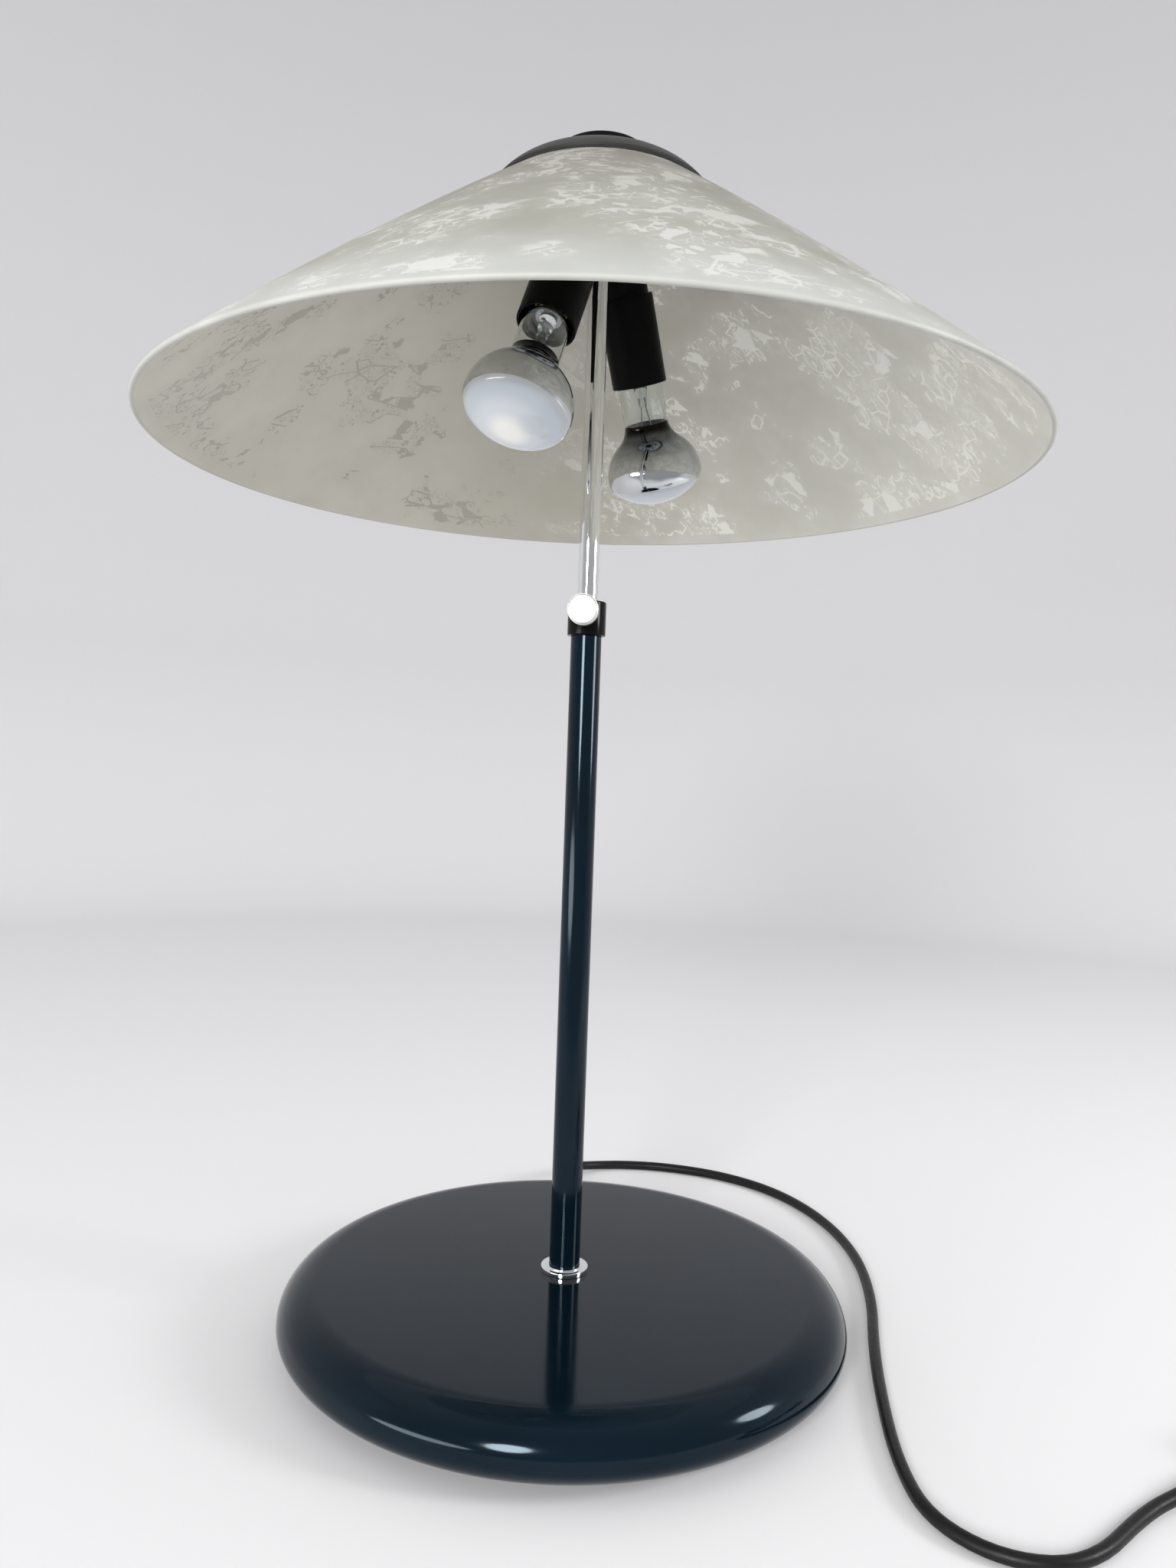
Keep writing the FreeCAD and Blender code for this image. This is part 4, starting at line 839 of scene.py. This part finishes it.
def etched_glass(name, axis, ground, ground_shading_ends, flakes, flake_shading_ends, sizes, tear, patch, soft,
                 gloss, seed):
    """Satin glass with clusters of torn, smoother flakes.

    The ground's color steps and the two flake colors run along an axis, between their ends in
    mm. Flakes have (length, width, share) sizes, edges torn by (patch size, reach), clusters
    of patch mm that fade over soft, and their own gloss."""
    material = start_material(name, ground[0][1], 0.5, Subsurface_Weight=0.15,
                              Subsurface_Scale=0.004, Subsurface_Radius=(1.0, 1.0, 1.0))
    tree = material.node_tree
    place = in_mm(tree)
    drift = patches(tree, place, tear[0], 3.0, 0.7).outputs["Color"]
    torn = add_node(tree, "ShaderNodeVectorMath", {0: drift, 1: [tear[1]] * 3, 2: place},
                    operation="MULTIPLY_ADD").outputs[0]
    masks = []
    for k, (length, width, share) in enumerate(sizes):
        one, lines = shards(tree, torn, length, width, (0.4 + k, 0.9 * k, 0.6), share, seed + k)
        two, _ = shards(tree, torn, length * 0.8, width * 1.2, (1.3, 0.5 + k, 1.9 * k),
                        share + 0.15, seed + 30 + k)
        masks.append(combine(tree, "MAXIMUM", combine(tree, "MULTIPLY", one, two), lines))
    both = combine(tree, "MAXIMUM", *masks)
    area = patches(tree, place, patch, 3.0, 0.6).outputs["Fac"]
    parts = add_node(tree, "ShaderNodeSeparateXYZ", {"Vector": place})
    along = stretch(tree, parts.outputs[axis], *flake_shading_ends)
    denser = add_node(tree, "ShaderNodeMath", {0: along, 1: 0.05, 2: area},
                      operation="MULTIPLY_ADD").outputs[0]
    cluster = stretch(tree, denser, CLUSTERED - soft, CLUSTERED + soft,
                      interpolation_type="SMOOTHSTEP")
    off_lip = combine(tree, "GREATER_THAN", parts.outputs["Z"], GLASS_LIP)
    mask = combine(tree, "MULTIPLY", combine(tree, "MULTIPLY", both, cluster), off_lip)
    # The flake colors and the ground's color steps change along the axis: painted shade and light.
    flake_color_and_shading = mix(tree, along, linear(flakes[0]), linear(flakes[1]))
    plain = color_ramp(tree, stretch(tree, parts.outputs[axis], *ground_shading_ends), ground)
    hazy = mix(tree, stretch(tree, area, 0.35, 0.7, high=0.4), plain, flake_color_and_shading)
    feed(material, "Base Color", mix(tree, mask, hazy, flake_color_and_shading))
    feed(material, "Roughness", stretch(tree, mask, 0.0, 1.0, 0.5, gloss))
    return add_bump(material, mask, 0.05, 0.4)


# Outside, the glass and its flakes are painted lighter toward the rim and darker toward the cap,
# painted shade, and the flakes are soft at the edges of their clusters. Inside, they are crisp,
# and the flakes are painted from dark on the left to pale on the right, and the ground darker
# in the middle: painted shade and light.
glass_outside = etched_glass(
    "etched_opal_glass_outside", "Z", ((0.0, "B4B5AF"), (0.33, "97968A"), (1.0, "7A766B")),
    (432.0, 545.0), ("D2D2CE", "A8A69C"), (432.0, 530.0), ((24.0, 9.0, 0.3), (10.0, 4.0, 0.3)),
    tear=(1 / 1.2, 1.6), patch=36.0, soft=0.06, gloss=0.42, seed=10.0)
glass_inside = etched_glass(
    "etched_opal_glass_inside", "X", ((0.0, "D2D0C3"), (0.4, "BAB7AA"), (1.0, "D4D3C8")),
    (-120.0, 150.0), ("B3B0A3", "F0F0E8"), (-70.0, 50.0), ((21.0, 8.0, 0.22), (8.0, 2.0, 0.17)),
    tear=(5.0, 0.5), patch=42.0, soft=0.01, gloss=0.25, seed=55.0)
show("glass-shade", turned("glass-shade", shade_outline, 320), [glass_outside, glass_inside],
     "head", "shade_glass", "glass_shade", zones=lambda step: 0 if step < STEPS + EDGE_STEPS else 1)


# Cap and finial
# A spun steel cap in satin gray lacquer presses the glass onto the carrier's gasket. A black
# turned finial with a brass insert screws down on the stem's end.

CAP_RIM = (53.0, 552.59)
CAP_FLAT = (27.0, 565.29)
CAP_WALL = 1.2
cap_center, cap_radius = bow(CAP_FLAT, CAP_RIM, 3.2)


def cap_arc(start, end, depth, steps):
    """Points on the cap's arc between two radii, moved in by depth."""
    reach = cap_radius - depth
    radii = [start + (end - start) * k / steps for k in range(steps + 1)]
    return [(r, cap_center[1] + math.sqrt(reach ** 2 - (r - cap_center[0]) ** 2)) for r in radii]


# Satin lacquer in dark gray has a soft, even sheen.
gray_lacquer = start_material("satin_gray_lacquer", "363633", 0.45, Specular_IOR_Level=0.12)
mottle(gray_lacquer, "3A3A37", "31312F", 30.0)
cap_outline = [(5.3, CAP_FLAT[1] - CAP_WALL), (5.3, CAP_FLAT[1])]
cap_outline += cap_arc(CAP_FLAT[0], CAP_RIM[0], 0, 20)
cap_outline += [(53.0, 551.45), (51.5, 552.6)]
cap_outline += [(r, z) for r, z in cap_arc(51.5, 31.0, CAP_WALL, 14)
                if z > on_glass(r, -1.0)[1] + 0.05 and z < CAP_FLAT[1] - CAP_WALL]
show("top-cap", turned("top-cap", cap_outline, 192), [gray_lacquer], "head", "gray_lacquer",
     "top_cap")

FINIAL_BOTTOM = 565.69
FINIAL_TOP = FINIAL_BOTTOM + 11.9
FINIAL = 22.0
finial = [(5.06, 575.09), (5.06, 573.39), (8.0, 573.39), (8.0, 566.89), (16.3, 566.89),
          (16.3, FINIAL_BOTTOM)]
finial += rounded([(FINIAL - 0.5, FINIAL_BOTTOM, 0), (FINIAL, FINIAL_BOTTOM + 0.5, 0)], 2)
finial += ellipse_quarter((FINIAL, FINIAL_BOTTOM + 8.3), (FINIAL, FINIAL_TOP),
                          (0.0, FINIAL_TOP), 24)
finial += [(0.0, 575.09)]

# Polished phenolic is black and glossy.
gloss_phenolic = start_material("polished_black_phenolic", "0A0A0B", 0.16,
                                Specular_IOR_Level=0.2)
mottle(gloss_phenolic, "0C0C0D", "080809", 10.0)
roughen(gloss_phenolic, 0.12, 0.22, 6.0)
show("finial", turned("finial", finial, 128, closed=False), [gloss_phenolic], "finial",
     "holder_plastic", "finial_knob")


# Cord gland and strain relief
# A moulded bush in the back of the base, and a soft sleeve over the cord that is ribbed so
# that it bends evenly.

GLAND = (-5.0, 139.5, 15.0)
dress(phenolic, "cord_gland")

# Plasticised vinyl is black, with a soft sheen and a fine drawn texture.
black_vinyl = start_material("black_flexible_vinyl", "0E0E0F", 0.4, Specular_IOR_Level=0.3)
mottle(black_vinyl, "121213", "0B0B0C", 12.0)
roughen(black_vinyl, 0.34, 0.5, 1.5, 0.01)


def rib_tree():
    tree, inputs = input_tree("ribbed_sleeve",
                              [("Count", "Int"), ("First", "Float"), ("Step", "Float"),
                               ("Wide End", "Float"), ("Taper", "Float"), ("Bead", "Float")])
    row = add_node(tree, "GeometryNodeMeshLine",
                   {"Count": inputs["Count"], "Start Location": along_z(tree, inputs["First"]),
                    "Offset": along_z(tree, inputs["Step"])}, mode="OFFSET")
    ring = add_node(tree, "GeometryNodeCurvePrimitiveCircle", {"Resolution": 48, "Radius": 1.0})
    bead = add_node(tree, "GeometryNodeCurvePrimitiveCircle",
                    {"Resolution": 10, "Radius": inputs["Bead"]})
    hoop = add_node(tree, "GeometryNodeCurveToMesh",
                    {"Curve": ring.outputs[0], "Profile Curve": bead.outputs[0]})
    number = add_node(tree, "GeometryNodeInputIndex")
    drop = combine(tree, "MULTIPLY", number.outputs[0], inputs["Taper"])
    width = combine(tree, "SUBTRACT", inputs["Wide End"], drop)
    size = add_node(tree, "ShaderNodeCombineXYZ", {"X": width, "Y": width, "Z": 6.0 * MM})
    hoops = add_node(tree, "GeometryNodeInstanceOnPoints",
                     {"Points": row.outputs[0], "Instance": hoop.outputs[0],
                      "Scale": size.outputs[0]})
    return end_tree(tree, inputs, inputs["Geometry"], hoops.outputs[0])


sleeve = rounded([(2.8, 0, 0), (4.9, 0, 0.3), (3.3, 30.0, 0.5), (2.8, 30.0, 0)], 4)
relief_mesh = grow(turned("sleeve", sleeve, 64), rib_tree(),
                   {"Count": 7, "First": 2.2 * MM, "Step": 4.2 * MM, "Wide End": 4.75 * MM,
                    "Taper": 0.224 * MM, "Bead": 0.14, "Finish": black_vinyl})
relief_mesh.transform(Matrix.Translation([c * MM for c in GLAND])
                      @ Matrix.Rotation(-math.pi / 2, 4, "X"))
show("strain-relief", relief_mesh, [black_vinyl], "base", "cord_vinyl", "strain_relief",
     sharp=50.0)


# Cord
# One black mains lead of 5.5 mm, from the strain relief round the base to the front right,
# through the switch, into a tied coil and on to the plug. Its points are the route's.

CORD = 5.5
TO_SWITCH = [
    (-5.0, 169.5, 15.0), (-5.0, 185.0, 15.0), (-3.5, 202.5, 10.5), (5.0, 218.0, 6.0),
    (20.0, 229.0, 3.2), (40.0, 233.0, 2.75), (68.0, 231.0, 2.75), (105.0, 218.0, 2.75),
    (138.0, 190.0, 2.75), (160.0, 145.0, 2.75), (168.0, 93.0, 2.75), (163.0, 40.0, 2.75),
    (151.0, -10.0, 2.75), (142.5, -58.0, 2.75), (137.0, -103.0, 2.75), (139.0, -138.0, 2.75),
    (160.0, -160.0, 2.75), (190.0, -161.0, 2.75), (224.0, -130.0, 2.75), (246.0, -119.0, 4.4),
    (264.0, -110.6, 8.0), (280.3, -103.0, 8.0),
]
TO_COIL = [
    (354.617, -68.345, 8.0), (369.1, -61.6, 8.0), (387.1, -62.9, 6.5), (402.2, -72.6, 4.6),
    (409.4, -92.0, 4.0), (410.6, -115.0, 4.0), (410.6, -139.0, 4.0),
]
TO_PLUG = [
    (369.1, -182.03, 10.1), (356.6, -182.03, 10.1), (343.6, -181.5, 7.0), (330.6, -181.5, 7.0),
]
COIL_CENTER = (374.6, -144.5, 4.0)
COIL_OUTER = 36.0
COIL_PITCH = 6.1
COIL_LAYER = 2
COIL_TURNS = 4.25
POINTS_PER_TURN = 20
coil_points = []
for k in range(int(COIL_TURNS * POINTS_PER_TURN) + 1):
    turn = k / POINTS_PER_TURN
    after = turn - COIL_LAYER
    radius = COIL_OUTER - COIL_PITCH * (COIL_LAYER - abs(after))
    climb = min(max(after * 2 + 0.5, 0.0), 1.0)
    angle = -2 * math.pi * turn
    coil_points.append((COIL_CENTER[0] + radius * math.cos(angle),
                        COIL_CENTER[1] + radius * math.sin(angle),
                        COIL_CENTER[2] + COIL_PITCH * climb ** 2 * (3 - 2 * climb)))
cord_points = TO_SWITCH + TO_COIL + coil_points + TO_PLUG
cord_curve, cord_line = round_curve("cord", cord_points, CORD / 2, 5, "NURBS")
cord_line.order_u = 3
cord_line.use_endpoint_u = True
cord_line.resolution_u = 6
cord_curve.materials.append(black_vinyl)
cord = place_object("mains-lead", cord_curve)
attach(cord, "base")
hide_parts("mains_cord", "link_cord", "cord_coil", "tail_cord")


# Switch and plug
# A black switch in two moulded halves with a rocker, and a flat two-pin plug. They sit on the
# cord, between its soft sleeves.

# Moulded plastic is black and smooth, with a gray sheen.
abs_moulding = start_material("black_moulded_plastic", "141416", 0.3)
mottle(abs_moulding, "171719", "111113", 15.0)
roughen(abs_moulding, 0.24, 0.38, 3.0)
dress(abs_moulding, "switch_base", "switch_cover", "switch_rocker", "plug_body")
dress(black_vinyl, "switch_reliefs")

# Nickel plate on the pins is a warm, bright gray.
nickel_plate = start_material("nickel_plated_brass", "BDB9B0", 0.2, 1.0)
roughen(nickel_plate, 0.14, 0.28, 3.0)
dress(nickel_plate, "plug_pins")


# Studio
# A pale cove stands for floor and wall, a little darker upward. It is open to the front, where
# it fades out. A window lights the lamp from the front left, and two weaker ones from the right
# and from low on the left, and the room fills in.

FLOOR_PAINT = "F2F1F2"
WALL_PAINT = "DEDDDE"
cove_outline = [(0, 0), (700, 0), (1500, 0)]
cove_outline += ellipse_quarter((1500, 0), (2100, 0), (2100, 600), 16)[1:]
cove_outline += [(2100, 2400)]
cove = place_object("cove", turned("cove", cove_outline, 96, closed=False))
for face in cove.data.polygons:
    face.use_smooth = True
    face.material_index = 0
cove.data.flip_normals()
cove_paint = start_material("cove_paint", FLOOR_PAINT, 0.9, Specular_IOR_Level=0.0)
tree = cove_paint.node_tree
place = add_node(tree, "ShaderNodeSeparateXYZ", {"Vector": in_mm(tree)})
feed(cove_paint, "Base Color",
     mix(tree, stretch(tree, place.outputs["Z"], 0.0, 500.0), linear(FLOOR_PAINT),
         linear(WALL_PAINT)))
solid = stretch(tree, place.outputs["Y"], -1000.0, -250.0, interpolation_type="SMOOTHSTEP")
faded = add_node(tree, "ShaderNodeMixShader",
                 {0: solid, 1: add_node(tree, "ShaderNodeBsdfTransparent").outputs[0],
                  2: tree.nodes["Principled BSDF"].outputs[0]})
tree.links.new(faded.outputs[0], tree.nodes["Material Output"].inputs["Surface"])
cove.data.materials.append(cove_paint)
cove.location.z = -0.0001


def add_light(name, place, target, width, height, power):
    """A soft oval light that faces its target."""
    data = bpy.data.lights.new(name, "AREA")
    data.shape = "ELLIPSE"
    data.size = width
    data.size_y = height
    data.energy = power
    light = place_object(name, data)
    light.location = place
    way = Vector(target) - Vector(place)
    light.rotation_euler = way.to_track_quat("-Z", "Y").to_euler()


add_light("window", (-0.72, -2.32, 1.02), (0, 0, 0.3), 0.7, 0.8, 48.0)
add_light("second_window", (1.4, -0.35, 0.66), (0, 0, 0.3), 0.4, 0.45, 8.5)
add_light("low_window", (-1.5, -1.35, 0.22), (0.05, 0, 0.42), 1.4, 0.3, 10.5)

# The room is dimmer in front of the lamp than behind it.
ROOM_FRONT = 0.45
ROOM_BACK = 0.84
world = bpy.data.worlds.new("room")
bpy.context.scene.world = world
world.use_nodes = True
tree = world.node_tree
sky = tree.nodes["Background"]
sky.inputs["Color"].default_value = linear("F2F3F5")
way = add_node(tree, "ShaderNodeTexCoord")
parts = add_node(tree, "ShaderNodeSeparateXYZ", {"Vector": way.outputs["Object"]})
tree.links.new(stretch(tree, parts.outputs["Y"], -0.7, 0.2, ROOM_FRONT, ROOM_BACK,
                       interpolation_type="SMOOTHSTEP"), sky.inputs["Strength"])
bpy.context.scene.view_settings.view_transform = "Standard"


# Camera
# Below the shade's rim and close to the lamp, tipped by a few degrees, as in the photograph.

CAMERA_DISTANCE = 0.561
CAMERA_HEIGHT = 0.279
CAMERA_LENS = 26.37
PITCH = -0.016
YAW = 0.006
ROLL = 0.035
forward = Vector((math.sin(YAW) * math.cos(PITCH), math.cos(YAW) * math.cos(PITCH),
                  math.sin(PITCH)))
level = Vector((math.cos(YAW), -math.sin(YAW), 0))
above = level.cross(forward)
right = level * math.cos(ROLL) + above * math.sin(ROLL)
up = above * math.cos(ROLL) - level * math.sin(ROLL)
camera_data = bpy.data.cameras.new("camera")
camera_data.sensor_fit = "VERTICAL"
camera_data.sensor_height = 36.0
camera_data.lens = CAMERA_LENS
camera_data.clip_start = 0.01
camera = place_object("camera", camera_data)
axes = Matrix((right, up, -forward)).transposed().to_4x4()
camera.matrix_world = Matrix.Translation((0, -CAMERA_DISTANCE, CAMERA_HEIGHT)) @ axes
bpy.context.scene.camera = camera
